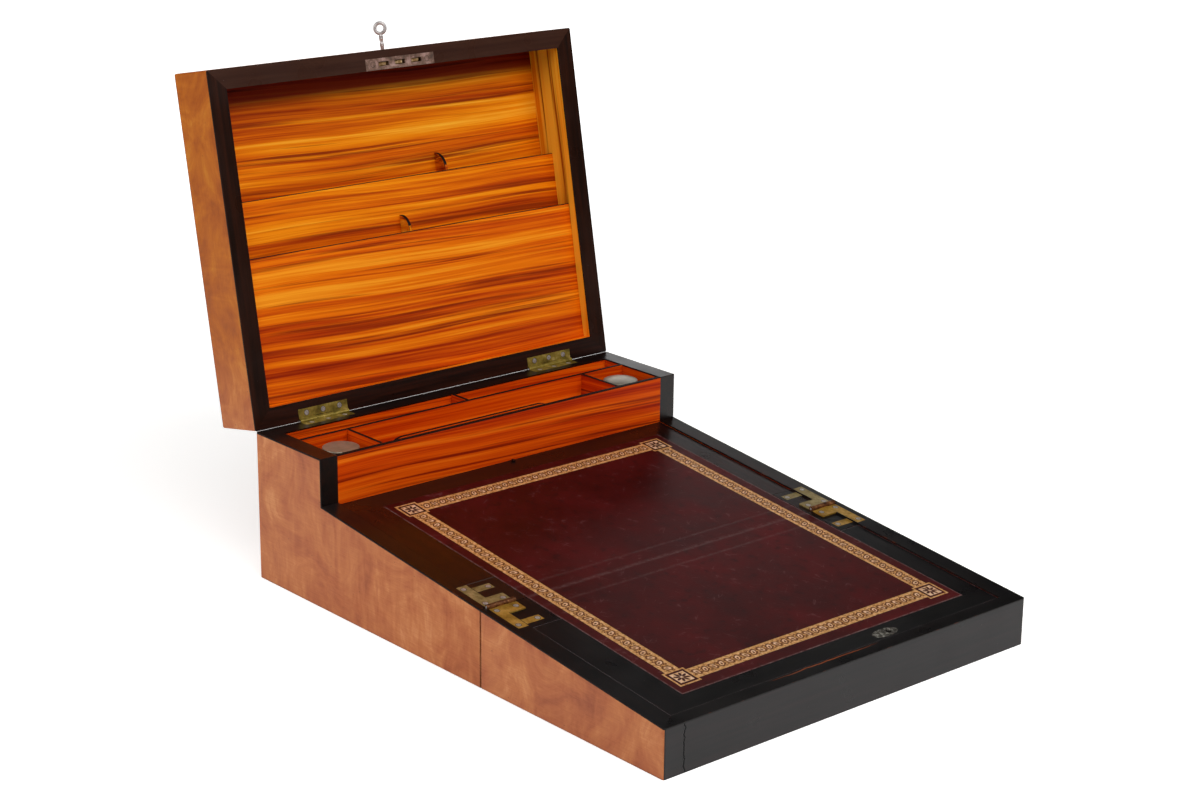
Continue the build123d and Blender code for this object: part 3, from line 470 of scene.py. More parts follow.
# boards and fittings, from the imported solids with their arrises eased
arrisRule = {
    # metres and radians
    "corner": 0.6,  # edges turn outwards by at least this to be rounded
    "probe": 0.0002,  # a neighbour this far out is flush
    "search": 0.02,
    "axisRoom": 0.001,  # the edges that the lid turns on stay sharp
    "crease": 0.3,  # edges that turn by more than this count as sharp
    "parallel": 0.999,
    "weld": 2e-6,
    "flat": 0.005,
}
flatWay = 0.9  # a face looks along an axis when its normal has this much of it
jointReach = 0.9  # mm from the joint's plane
surfaces = {}
for name, node in nodes.items():
    corners = [v.co.copy() for v in node.data.vertices]
    surfaces[name] = BVHTree.FromPolygons(corners, [p.vertices[:] for p in node.data.polygons])


def insideAnother(point, own):
    # true where another board's wood fills the place
    for name, surface in surfaces.items():
        if name == own or nodes[name]["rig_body"] != nodes[own]["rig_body"]:
            continue
        hit, normal = surface.find_nearest(point, arrisRule["search"])[:2]
        if hit is not None and (point - hit).dot(normal) < 0:
            return True
    return False


def openArris(edge, own, shortest):
    # an outside corner that no neighbour meets flush, away from the two edges that the lid turns on
    if len(edge.link_faces) != 2 or edge.calc_length() < shortest:
        return False
    if edge.calc_face_angle_signed(0.0) < arrisRule["corner"]:
        return False
    middle = (edge.verts[0].co + edge.verts[1].co) / 2
    if (middle - lidAxis).cross(alongX).length < arrisRule["axisRoom"]:
        return False
    one, two = (face.normal for face in edge.link_faces)
    out = arrisRule["probe"] * (one - two)
    return not (insideAnother(middle + out, own) or insideAnother(middle - out, own))


def crowded(edge, sharpEdges, room):
    # true where another sharp edge runs beside this one, closer than the rounding needs
    start, end = (v.co for v in edge.verts)
    way = (end - start).normalized()
    for other in sharpEdges:
        one, two = (v.co - start for v in other.verts)
        if other is edge or abs((two - one).normalized().dot(way)) < arrisRule["parallel"]:
            continue
        low, high = sorted((one.dot(way), two.dot(way)))
        if (one - one.dot(way) * way).length < room and high > mm and low < (end - start).length - mm:
            return True
    return False


def eased(node, finish, arris=0.4, rules=(), worn=None, joint=None, segments=2, sharp=20):
    # a copy of a imported solid with its open arrises rounded. rules gives other finishes to the faces that
    # pass a test, worn is the finish of the rounded arrises, which on the board borders is a painted
    # highlight, and joint those of the flat where base and flap meet, which is the front of the shut box, and
    # of the edges round it
    source = nodes[node]
    shape = bmesh.new()
    shape.from_mesh(source.data)
    bmesh.ops.remove_doubles(shape, verts=shape.verts, dist=arrisRule["weld"])
    bmesh.ops.dissolve_limit(shape, angle_limit=arrisRule["flat"], verts=shape.verts, edges=shape.edges)
    shape.normal_update()
    finishes = [finish] + [extra for extra, test in rules] + list(joint or ()) + ([worn] if worn else [])
    if arris:
        size = arris * mm
        sharpEdges = [e for e in shape.edges if e.calc_face_angle(0.0) > arrisRule["crease"]]
        edges = [e for e in shape.edges if openArris(e, node, 0.9 * size)]
        edges = [e for e in edges if not crowded(e, sharpEdges, size)]
        bmesh.ops.bevel(
            shape,
            geom=edges,
            offset=size,
            segments=segments,
            affect="EDGES",
            clamp_overlap=False,
            profile=0.5,
            material=len(finishes) - 1 if worn else -1,
        )
        shape.normal_update()
    for face in shape.faces:
        if joint and abs(face.calc_center_median().y / mm - jointY) < jointReach:
            face.material_index = finishes.index(joint[0 if abs(face.normal.y) > flatWay else 1])
        elif face.material_index == 0:
            passed = [number for number, (extra, test) in enumerate(rules, 1) if test(face)]
            face.material_index = passed[0] if passed else 0
    return keepPiece(node + "_eased", shape, finishes, source["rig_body"], [node], sharp)


def keepPiece(name, shape, finishes, body=None, replaced=(), sharp=20):
    # turns a bmesh into a piece of the object, which moves with a body if one is given
    mesh = bpy.data.meshes.new(name)
    shape.to_mesh(mesh)
    shape.free()
    for finish in finishes:
        mesh.materials.append(finish)
    mesh.shade_smooth()
    mesh.set_sharp_from_angle(angle=math.radians(sharp))
    piece = bpy.data.objects.new(name, mesh)
    scene.collection.objects.link(piece)
    if body:
        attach(piece, body)
    if replaced:
        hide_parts(*replaced)
    return piece


def facing(way, least):
    # a test for faces that look one way
    return lambda face: face.normal.dot(way) > least


facesUp = facing(alongZ, flatWay)
facesAnyUp = facing(alongZ, 0.1)
facesLidUp = facing(lidUp, 0.25)
facesLidBack = facing(lidBack, flatWay)
faceLimits = {
    # mm
    "crossBoard": 162.3,  # the side boards start this far from the middle
    "sideBorder": (-136, 142.2),  # the leather's sides, past which the border's side strips run
    "topRail": lidTopAt - 30,
    "barrel": 2.1,
    "collar": 103.3,  # the inkwells' glass ends at this height
}


def facesAside(face):
    return abs(face.normal.x) > flatWay


def topRail(face):
    # the rim's rail that holds the lock
    return face.calc_center_median().dot(lidUp) / mm > faceLimits["topRail"]


def crossBoard(face):
    # faces of the side boards, whose grain runs the other way
    return abs(face.calc_center_median().x) > faceLimits["crossBoard"] * mm


def sideBorder(face):
    # the border's side strips, which run towards the writer
    left, right = faceLimits["sideBorder"]
    return not left * mm <= face.calc_center_median().x <= right * mm


def onBarrel(face):
    # the knuckles that wrap the fold's pin
    place = face.calc_center_median() / mm
    return math.hypot(place.y - jointY, place.z - foldZ) < faceLimits["barrel"]


def collarFace(face):
    # the ring round the top of an inkwell's neck
    return face.calc_center_median().z > faceLimits["collar"] * mm and face.normal.z > -flatWay


carcass = {
    "base_side_walls": veneerBase,
    "base_rear_wall": veneerBack,
    "flap_side_walls": veneerBase,
    "lid_side_walls": veneerLid,
    "lid_rear_wall": veneerLidTop,
    "lid_front_wall": veneerLidTop,
    "lid_top_panel": veneerLidTop,
}
jointLook = (veneerFront, jointEdge)
for name, finish in carcass.items():
    # the top's sheet covers the lid walls' edges
    rules = [(veneerLidTop, facesLidBack)] if name == "lid_side_walls" else ()
    eased(name, finish, 0.5, rules, veneerArris, jointLook)
for name in ("base_joint_wall", "flap_joint_wall"):
    eased(name, pine, 0.3, joint=jointLook)

facingSides = (blackEdge, facesAside)
baseRules = [facingSides, (blackWoodLong, crossBoard)]
flapRules = [facingSides, (blackWoodFlapLong, crossBoard)]
lidRules = [facingSides, (blackWoodLid, crossBoard), (blackWoodTop, topRail)]
ebonised = {
    # piece: its finish, its arris in mm, other finishes by face, the finish of the arrises
    "base_facings": (blackWood, 0.4, baseRules, blackArris),
    "flap_facings": (blackWoodScar, 0.4, flapRules, blackArris),
    "lid_facings": (blackWoodRim, 0.4, lidRules, blackArris),
    "flap_front_wall": (blackWoodFront, 0.5, (), blackArris),
    "base_hinge_blocks": (blackWoodLong, 0.25, (), blackArris),
    "flap_hinge_blocks": (blackWoodFlapLong, 0.25, (), blackArris),
    "upper_board_border": (blackWood, 0.4, [(blackWoodBoard, sideBorder)], boardArris),
    "lower_board_border": (blackWoodFlap, 0.7, [(blackWoodFlapLong, sideBorder)], paleArris),
}
for name, (finish, arris, rules, worn) in ebonised.items():
    eased(name, finish, arris, rules, worn, sharp=2)
eased("upper_board_pull", blackWood, 0.25)
print("carcass done")

rackTop = [(blackEdge, facesLidUp)]
trayTop = [(blackEdge, facesUp)]
linings = {
    # piece: its finish, its arris in mm, other finishes by face, the finish of the arrises
    "rack_front_divider": (stripedRack, 0.5, rackTop, blackEdge),
    "rack_middle_divider": (stripedMiddle, 0.5, rackTop, blackEdge),
    "rack_partitions": (stripedLid, 0.3, rackTop, blackEdge),
    "lid_linings": (stripedLid, 0.15, [(stripedLidSide, crossBoard)], None),
    "tray_fascia": (stripedFront, 0.6, trayTop, blackEdge),
    "tray_long_partition": (stripedFront, 0.4, trayTop, blackEdge),
    "tray_dividers": (stripedCross, 0.4, trayTop, blackEdge),
    "pen_rest": (stripedFront, 0.3, [(blackEdge, facesAnyUp)], blackEdge),
    "tray_floor": (stripedFloor, 0, (), None),
    "base_linings": (stripedFront, 0.15, [(stripedCross, crossBoard)], None),
    "flap_linings": (wellFront, 0.15, [(wellCross, crossBoard)], None),
}
for name, (finish, arris, rules, worn) in linings.items():
    eased(name, finish, arris, rules, worn)
print("linings and rack done")

for name in ("base_bottom", "flap_bottom", "base_board_bearers", "flap_board_bearers"):
    eased(name, pine, 0.3)
for name in ("upper_board_core", "lower_board_core"):
    eased(name, pine, 0.3, [(blackEdge, facesAnyUp)])

fittings = {
    # piece: its finish, its slot, its arris in mm, other finishes by face
    "lid_hinge_base_leaves": (lidBrass, "brass", 0.15, ()),
    "lid_hinge_lid_leaves": (lidBrass, "brass", 0.15, ()),
    "lock_case": (brass, "brass", 0.15, ()),
    "lock_strike_plate": (brass, "brass", 0.15, ()),
    "lock_bolts": (boltBrass, "brass", 0.2, ()),
    "lock_selvage": (nickel, "steel", 0.15, ()),
    "hinge_pins": (steel, "steel", 0.0, ()),
    "lower_board_catch": (darkSteel, "steel", 0.15, ()),
    "inkwell_left_bottle": (glass, "ink_glass", 0.3, [(brass, collarFace)]),
    "inkwell_right_bottle": (glass, "ink_glass", 0.3, [(brass, collarFace)]),
}
for name, (finish, slotName, arris, rules) in fittings.items():
    eased(name, finish, arris, rules)
for name in ("inkwell_left_cap", "inkwell_right_cap"):
    eased(name, silver, 0.8, segments=4, sharp=40)
knuckles = [(rustedBrass, onBarrel)]
for name, finish in (("slope_hinge_base_leaves", dullBrass), ("slope_hinge_flap_leaves", brass)):
    eased(name, finish, 0.15, knuckles)
print("fittings done")


# screws and key
screwLook = {
    # slotted screws let in flush: only the dome of the head stands above the plate, in a thin ring painted
    # dark as shade and dirt
    "profile": ((2.0, 0.01), (1.85, 0.04), (1.2, 0.06), (0.5, 0.065)),
    "ring": 2.3,
    "ringHeight": 0.01,
    "slot": 0.55,
    "slotFloor": 0.02,
    "sides": 24,
    "firstTurn": 0.7,  # how the slots came to lie
    "nextTurn": 1.9,
}
screwPlaces = {
    # mm
    "slope": ((168.9, 30.6), (168.5, 6.4), (152.2, 7.2), (149.4, 27.5)),  # across, and from the joint
    "leaf": 114.7,
    "leafSteps": (-15.5, 0, 15.5),
    "leafFromAxis": 5.9,
    "lock": 26.5,
    "selvageFromAxis": 265.2,
    "strikeY": -150.3,
    # the rays that find the plates start at these heights or this far in front, in metres, and reach this far
    "overSlope": 0.12,
    "overLeaves": 0.16,
    "underStrike": -0.02,
    "beforeLid": 0.03,
    "ray": 0.1,
}


def screwHead(shape, place, up, turn):
    # adds one head to a mesh, standing on a plate at a place in metres
    look = screwLook
    head = bmesh.new()
    angles = [2 * math.pi * i / look["sides"] for i in range(look["sides"])]
    circles = look["profile"] + ((look["ring"], look["ringHeight"]),)
    rings = [[head.verts.new((r * math.cos(a), r * math.sin(a), h)) for a in angles] for r, h in circles]
    groove = rings.pop()
    for low, high in zip([groove] + rings, rings):
        for i in range(look["sides"]):
            face = head.faces.new((low[i - 1], low[i], high[i], high[i - 1]))
            face.material_index = 1 if low is groove else 0
    head.faces.new(rings[-1])
    half = look["slot"] / 2
    for side in (-half, half):
        every = head.verts[:] + head.edges[:] + head.faces[:]
        bmesh.ops.bisect_plane(head, geom=every, plane_co=(0, side, 0), plane_no=(0, 1, 0))
    # the slot is sunk and painted dark as shade
    slot = [f for f in head.faces if abs(f.calc_center_median().y) < half * 0.9 and f.material_index == 0]
    sunk = bmesh.ops.extrude_face_region(head, geom=slot)["geom"]
    for part in sunk:
        if isinstance(part, bmesh.types.BMVert):
            part.co.z = min(part.co.z, look["slotFloor"])
        if isinstance(part, bmesh.types.BMFace):
            part.material_index = 1
    first = up.orthogonal().normalized()
    second = up.cross(first)
    slotWay = math.cos(turn) * first + math.sin(turn) * second
    basis = Matrix((slotWay * mm, up.cross(slotWay) * mm, up * mm)).transposed().to_4x4()
    basis.translation = place
    head.transform(basis)
    mesh = bpy.data.meshes.new("head")
    head.to_mesh(mesh)
    head.free()
    shape.from_mesh(mesh)
    bpy.data.meshes.remove(mesh)


def screws(name, heads, finish=screwSteel):
    # heads: the plate's node, a point over it in metres and the way down to it
    shape = bmesh.new()
    for number, (plate, over, down) in enumerate(heads):
        hit, normal = surfaces[plate].ray_cast(over, down, screwPlaces["ray"])[:2]
        screwHead(shape, hit, normal, screwLook["firstTurn"] + screwLook["nextTurn"] * number)
    shape.normal_update()
    return keepPiece(name, shape, [finish, slotShadeAndDirt], nodes[heads[0][0]]["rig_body"])


leafScrews = [side * screwPlaces["leaf"] + step for side in (-1, 1) for step in screwPlaces["leafSteps"]]
lockScrews = (-screwPlaces["lock"], screwPlaces["lock"])
slopeHeads = {
    body: [
        (plate, Vector((side * x * mm, (jointY + way * run) * mm, screwPlaces["overSlope"])), -alongZ)
        for side in (-1, 1)
        for x, run in screwPlaces["slope"]
    ]
    for body, plate, way in (("base", "slope_hinge_base_leaves", 1), ("flap", "slope_hinge_flap_leaves", -1))
}
rear = (lidAxis.y / mm - screwPlaces["leafFromAxis"]) * mm
over = screwPlaces["overLeaves"]
leafHeads = [("lid_hinge_base_leaves", Vector((x * mm, rear, over)), -alongZ) for x in leafScrews]
strikeY = screwPlaces["strikeY"] * mm
beneath = screwPlaces["underStrike"]
strikeHeads = [("lock_strike_plate", Vector((x * mm, strikeY, beneath)), alongZ) for x in lockScrews]
screws("base_screws", slopeHeads["base"] + leafHeads)
screws("flap_screws", slopeHeads["flap"] + strikeHeads)
inFront = lidAxis - screwPlaces["beforeLid"] * lidBack
toLeaf = screwPlaces["leafFromAxis"] * mm * lidUp
toSelvage = screwPlaces["selvageFromAxis"] * mm * lidUp
heads = [("lid_hinge_lid_leaves", inFront + x * mm * alongX + toLeaf, lidBack) for x in leafScrews]
screws("lid_screws", heads)
heads = [("lock_selvage", inFront + x * mm * alongX + toSelvage, lidBack) for x in lockScrews]
screws("lock_screws", heads, nickel)

keyLook = {
    # a small barrel key: ring bow of round bar, turned collars at its neck, plain shaft and a flat bit; mm
    "ring": 4.15,
    "bar": 1.45,
    "shaft": 1.5,
    "neck": 1.2,  # the shaft is this thin where it meets the ring
    "neckFrom": 0.2,
    "collars": ((6.6, 1.9), (7.6, 2.15), (8.6, 1.9), (12.4, 1.8), (13.2, 2.0), (14.0, 1.8)),
    "collarHalf": 0.45,
    "bit": [(1.0, -0.5), (4.8, -0.5), (5.0, -0.3), (5.0, 0.3), (4.8, 0.5), (1.0, 0.5)],  # outwards and across
    "bitHeight": 3.0,
    "bowZone": 10,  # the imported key's corners this far from its ends belong to its bow and its bit
    "bitZone": 2.5,
    "ringSides": 48,
    "barSides": 16,
    "shaftSides": 20,
}


def ringKey():
    look = keyLook
    source = nodes["key"]
    corners = [v.co - lidAxis for v in source.data.vertices]
    heights = [c.dot(lidUp) / mm for c in corners]
    top = max(heights)
    bottom = min(heights)
    bow = [c for c, h in zip(corners, heights) if h > top - look["bowZone"]]
    bitCorners = [c for c, h in zip(corners, heights) if h < bottom + look["bitZone"]]
    middle = sum(bow, Vector()) / len(bow)

    def acrossBow(turn):
        return math.cos(turn) * alongX + math.sin(turn) * lidBack

    def spread(turn):
        way = acrossBow(turn)
        reach = [c.dot(way) for c in bow]
        return max(reach) - min(reach)

    wide = acrossBow(max((math.pi * i / 90 for i in range(90)), key=spread))
    thick = lidUp.cross(wide)
    foot = lidAxis + (middle - middle.dot(lidUp) * lidUp)
    ringAt = top - look["ring"] - look["bar"]
    shape = bmesh.new()
    around, across = look["ringSides"], look["barSides"]
    loops = []
    for i in range(around):
        a = 2 * math.pi * i / around
        out = math.cos(a) * wide + math.sin(a) * lidUp
        loop = []
        for j in range(across):
            b = 2 * math.pi * j / across
            offset = (look["ring"] + look["bar"] * math.cos(b)) * out + look["bar"] * math.sin(b) * thick
            loop.append(shape.verts.new(foot + ringAt * mm * lidUp + offset * mm))
        loops.append(loop)
    for i in range(around):
        for j in range(across):
            shape.faces.new((loops[i - 1][j - 1], loops[i][j - 1], loops[i][j], loops[i - 1][j]))
    profile = [(look["ring"] + look["neckFrom"], look["neck"])]
    half = look["collarHalf"]
    for drop, radius in look["collars"]:
        profile += [(drop - half, look["shaft"]), (drop, radius), (drop + half, look["shaft"])]
    profile.append((ringAt - bottom, look["shaft"]))
    rows = []
    for drop, radius in profile:
        row = []
        for j in range(look["shaftSides"]):
            b = 2 * math.pi * j / look["shaftSides"]
            offset = radius * (math.cos(b) * wide + math.sin(b) * thick) + (ringAt - drop) * lidUp
            row.append(shape.verts.new(foot + offset * mm))
        rows.append(row)
    for low, high in zip(rows, rows[1:]):
        for j in range(look["shaftSides"]):
            shape.faces.new((low[j - 1], low[j], high[j], high[j - 1]))
    shape.faces.new(rows[0])
    shape.faces.new(rows[-1][::-1])
    bitWay = max((wide, -wide, thick, -thick), key=lambda way: max(c.dot(way) for c in bitCorners))
    flat = lidUp.cross(bitWay)
    outline = look["bit"]
    low, high = (
        {
            (reach, side): shape.verts.new(foot + mm * (height * lidUp + reach * bitWay + side * flat))
            for reach, side in sorted(outline)
        }
        for height in (bottom, bottom + look["bitHeight"])
    )
    shape.faces.new([low[corner] for corner in outline])
    shape.faces.new([high[corner] for corner in outline[::-1]])
    for a, b in zip(outline, outline[1:] + outline[:1]):
        shape.faces.new((low[a], low[b], high[b], high[a]))
    bmesh.ops.recalc_face_normals(shape, faces=shape.faces[:])
    return keepPiece("key_turned", shape, [steel], source["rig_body"], ["key"], 50)


ringKey()
print("screws and key done")


# leather
leatherLook = {
    # skiver glued over both boards and across the joint, dyed oxblood, with a blind-rolled gilt band; mm
    "centre": 3.1,
    "halfWidth": 138.9,
    "upperEnd": 171.0,
    "lowerEnd": -160.6,
    "seam": 8.0,  # where the three sheets meet, either side of the joint
    "thick": 0.72,
    "creases": ((upperCrease, 0.07, 1.4), (0.0, 0.1, 1.3), (lowerCrease, 0.07, 1.4)),  # where, depth, width
    "boardBend": 2,  # mm either side of a board's crease, and of the joint
    "foldBend": 3,
    "folds": ((15.9, 1.2, 0.18), (0.4, 1.4, 0.38), (-15.9, 1.2, 0.22)),  # where, how wide and how rubbed
    "rubbedEdge": 0.8,
    "scratches": ((0.5, 0.012), (-0.7, 0.016), (1.3, 0.014)),  # which way a set runs, and how stretched it is
    "colours": [(0.3, "#2C0404"), (0.5, "#3C0808"), (0.75, "#4E0E10")],
    "ink": "#240606",
    "scuffs": "#80585A",
    "pale": "#6E5654",
    "hollows": "#6A3A1E",
    "giltCentre": 6.45,
    "giltHalf": (123.2, 149.55),
    "bandWidth": 12.8,
    "blockWidth": 19.2,
    "blockLine": 1.5,
    "panelFrom": 3.4,  # from the block's edge
    "petal": ((3.5, 0), (2.5, 1.05)),
    "period": 8.2,
    "endPeriod": 7.544,
    "gilt": [(0.34, "#9C6834"), (0.5, "#CE985A"), (0.64, "#EEC08A")],
    # the painted highlight on the gold
    "glint": "#F2CFAE",
}
scrollLook = {
    # one print of the roller: ovals by their middle and half sizes in mm, along the band, then across it
    "ring": ((0, 0), (2.4, 3.3)),
    "ringLine": 0.22,
    "inside": ((0, -0.2), (1.9, 2.7)),
    "bud": ((0, 0.4), (0.8, 1.4)),
    "leaf": ((3.7, 2.2), (1.0, 1.3)),
    "leafLine": 0.36,
    "seed": ((3.6, -2.4), (0.7, 1.2)),
    "lean": 0.28,
    "reach": 4.4,  # the prints end this far from the band's middle
}


def tooledLeather(name):
    look = leatherLook
    finish, tree, shader = newFinish(name, **{"Specular IOR Level": 0.1})
    plan = add(tree, "UVMap", uv_map="plan")
    planMm = add(tree, "VectorMath", {0: plan, "Scale": 1000.0}, operation="SCALE")
    toMiddle = (-look["centre"], -look["giltCentre"], 0)
    place = add(tree, "VectorMath", {0: planMm, 1: toMiddle}, operation="ADD")
    runs = add(tree, "SeparateXYZ", {0: place}).outputs
    size = add(tree, "VectorMath", {0: place}, operation="ABSOLUTE")
    offset = add(tree, "VectorMath", {0: size, 1: (*look["giltHalf"], 0)}, operation="SUBTRACT")
    toLine = add(tree, "SeparateXYZ", {0: offset}).outputs  # out from the middle of the band
    across = [add(tree, "Math", {0: toLine[i]}, operation="ABSOLUTE") for i in (0, 1)]
    square = add(tree, "Math", {0: across[0], 1: across[1]}, operation="MAXIMUM")

    def within(value, edge, soft=0.12):
        # 1 below the edge, 0 above it
        return add(tree, "MapRange", {0: value, 1: edge - soft, 2: edge + soft, 3: 1.0, 4: 0.0})

    def oval(spot, centre, halves, line=0, soft=0.22):
        # a filled oval, or one drawn by a line
        away = add(tree, "VectorMath", {0: spot, 1: (*centre, 0)}, operation="SUBTRACT")
        away = add(tree, "VectorMath", {0: away, 1: (*halves, 1)}, operation="DIVIDE")
        away = add(tree, "VectorMath", {0: away}, operation="LENGTH").outputs["Value"]
        if not line:
            return within(away, 1.0, soft)
        away = add(tree, "Math", {0: away, 1: 1.0}, operation="SUBTRACT")
        return within(add(tree, "Math", {0: away}, operation="ABSOLUTE"), line, 0.1)

    def most(values):
        # where any of the marks is
        whole = values[0]
        for value in values[1:]:
            whole = add(tree, "Math", {0: whole, 1: value}, operation="MAXIMUM")
        return whole

    def without(value, cut):
        left = add(tree, "Math", {0: 1.0, 1: cut}, operation="SUBTRACT")
        return add(tree, "Math", {0: value, 1: left}, operation="MULTIPLY")

    def scrolls(run, off, period):
        # one scroll in each period: an upright oval with a bud in it, and a leaf each side
        scroll = scrollLook
        ahead = add(tree, "Math", {0: run, 1: 100 * period}, operation="ADD")
        wrapped = add(tree, "Math", {0: ahead, 1: period}, operation="MODULO")
        wrapped = add(tree, "Math", {0: wrapped, 1: period / 2}, operation="SUBTRACT")
        wave = add(tree, "Math", {0: run, 1: math.pi / period}, operation="MULTIPLY")
        wave = add(tree, "Math", {0: wave}, operation="SINE")
        flip = add(tree, "Math", {0: wave}, operation="SIGN")
        lean = add(tree, "Math", {0: off, 1: scroll["lean"]}, operation="MULTIPLY")
        lean = add(tree, "Math", {0: lean, 1: flip}, operation="MULTIPLY")
        slant = add(tree, "Math", {0: wrapped, 1: lean}, operation="ADD")
        spot = add(tree, "CombineXYZ", {0: slant, 1: off})
        bud = oval(spot, *scroll["bud"])
        marks = [oval(spot, *scroll["ring"], scroll["ringLine"]), bud]
        for side in (-1, 1):
            for part, line in (("leaf", scroll["leafLine"]), ("seed", 0)):
                centre, halves = scroll[part]
                marks.append(oval(spot, [side * c for c in centre], halves, line))
        inRow = within(add(tree, "Math", {0: off}, operation="ABSOLUTE"), scroll["reach"])
        # where a highlight is painted: inside the ring, round the bud
        shine = add(tree, "Math", {0: oval(spot, *scroll["inside"]), 1: bud}, operation="SUBTRACT")
        return add(tree, "Math", {0: most(marks), 1: inRow}, operation="MULTIPLY"), shine

    # the band along the sides and the one along the ends: where each lies, its gold and where a highlight is
    # painted on it
    block = look["blockWidth"] / 2
    bands, golds, shines = [], [], []
    for side, period in ((0, look["period"]), (1, look["endPeriod"])):
        ends = within(toLine[1 - side], -block + 0.2)
        sides = within(across[side], look["bandWidth"] / 2)
        band = add(tree, "Math", {0: sides, 1: ends}, operation="MULTIPLY")
        marks, shine = scrolls(runs[1 - side], toLine[side], period)
        bands.append(band)
        golds.append(without(band, marks))
        shines.append(add(tree, "Math", {0: band, 1: shine}, operation="MULTIPLY"))
    # the corner block: a line round it, and a panel with eight petals left dark
    insideLine = within(square, block - look["blockLine"])
    panel = within(square, block - look["panelFrom"])
    petals = []
    for angle in [turn * math.pi / 2 + lean for turn in range(4) for lean in (-0.4, 0.4)]:
        turned = add(tree, "VectorRotate", {"Vector": offset, "Angle": -angle}, rotation_type="Z_AXIS")
        petals.append(oval(turned, *look["petal"], soft=0.2))
    golds.append(without(within(square, block), insideLine))
    golds.append(without(panel, most(petals)))
    gilt = without(most(golds), without(insideLine, panel))
    tooled = most(bands + [within(square, block)])

    worn = add(tree, "TexNoise", {"Vector": planMm, "Scale": 0.35, "Detail": 6.0, "Roughness": 0.7})
    rubbed = add(tree, "MapRange", {0: worn, 1: 0.34, 2: 0.44, 3: 0.35, 4: 1.0})
    gilt = add(tree, "Math", {0: gilt, 1: rubbed}, operation="MULTIPLY")
    # painted highlights on the gold, in patches inside the scrolls and on the corner panels
    glintPatches = add(tree, "TexNoise", {"Vector": planMm, "Scale": 0.3, "Detail": 4.0, "Roughness": 0.7})
    glint = add(tree, "MapRange", {0: glintPatches, 1: 0.42, 2: 0.56, 3: 0.15, 4: 0.9})
    glint = add(tree, "Math", {0: most(shines + [panel]), 1: glint}, operation="MULTIPLY")
    gold = add(tree, "ValToRGB", {0: worn}, stops=look["gilt"])
    gold = add(tree, "Mix", {0: glint, 6: gold, 7: linear(look["glint"])}, data_type="RGBA")

    cloud = add(tree, "TexNoise", {"Vector": planMm, "Scale": 0.016, "Detail": 5.0, "Roughness": 0.6})
    hide = add(tree, "ValToRGB", {0: cloud}, stops=look["colours"])
    # dark ink spots and blotches, then scratches: thin lines where a stretched noise crosses its middle value
    spots = add(tree, "TexNoise", {"Vector": planMm, "Scale": 0.11, "Detail": 3.0, "Roughness": 0.6})
    spot = add(tree, "MapRange", {0: spots, 1: 0.56, 2: 0.68, 3: 0.0, 4: 0.6})
    hide = add(tree, "Mix", {0: spot, 6: hide, 7: linear(look["ink"])}, data_type="RGBA")
    lines = []
    for turn, stretch in look["scratches"]:
        turned = add(tree, "VectorRotate", {"Vector": planMm, "Angle": turn}, rotation_type="Z_AXIS")
        thin = add(tree, "VectorMath", {0: turned, 1: (stretch, 0.09, 1.0)}, operation="MULTIPLY")
        field = add(tree, "TexNoise", {"Vector": thin, "Scale": 1.0, "Detail": 1.0})
        away = add(tree, "Math", {0: field, 1: 0.56}, operation="SUBTRACT")
        lines.append(within(add(tree, "Math", {0: away}, operation="ABSOLUTE"), 0.007, 0.006))
    patchy = add(tree, "MapRange", {0: spots, 1: 0.46, 2: 0.36, 3: 0.0, 4: 0.22})
    scratches = add(tree, "Math", {0: most(lines), 1: patchy}, operation="MULTIPLY")
    scuffs = add(tree, "TexNoise", {"Vector": planMm, "Scale": 0.22, "Detail": 6.0, "Roughness": 0.75})
    scuff = add(tree, "MapRange", {0: scuffs, 1: 0.64, 2: 0.76, 3: 0.0, 4: 0.6})
    marked = most([scuff, scratches])
    hide = add(tree, "Mix", {0: marked, 6: hide, 7: linear(look["scuffs"])}, data_type="RGBA")
    # rubbed pale along its cut edges and, more softly, where it has folded
    at = add(tree, "SeparateXYZ", {0: planMm}).outputs
    fromMiddle = add(tree, "Math", {0: at[0], 1: look["centre"]}, operation="SUBTRACT")
    fromMiddle = add(tree, "Math", {0: fromMiddle}, operation="ABSOLUTE")
    toSide = add(tree, "Math", {0: look["halfWidth"], 1: fromMiddle}, operation="SUBTRACT")
    toFront = add(tree, "Math", {0: at[1], 1: look["lowerEnd"]}, operation="SUBTRACT")
    toEdge = add(tree, "Math", {0: toSide, 1: toFront}, operation="MINIMUM")
    rubs = [within(toEdge, look["rubbedEdge"], 0.6)]
    for place, width, strength in look["folds"]:
        away = add(tree, "Math", {0: at[1], 1: place}, operation="SUBTRACT")
        near = within(add(tree, "Math", {0: away}, operation="ABSOLUTE"), width, width)
        rubs.append(add(tree, "Math", {0: near, 1: strength}, operation="MULTIPLY"))
    broken = add(tree, "MapRange", {0: scuffs, 1: 0.40, 2: 0.60, 3: 0.15, 4: 1.0})
    pale = add(tree, "Math", {0: most(rubs), 1: broken}, operation="MULTIPLY")
    hide = add(tree, "Mix", {0: pale, 6: hide, 7: linear(look["pale"])}, data_type="RGBA")
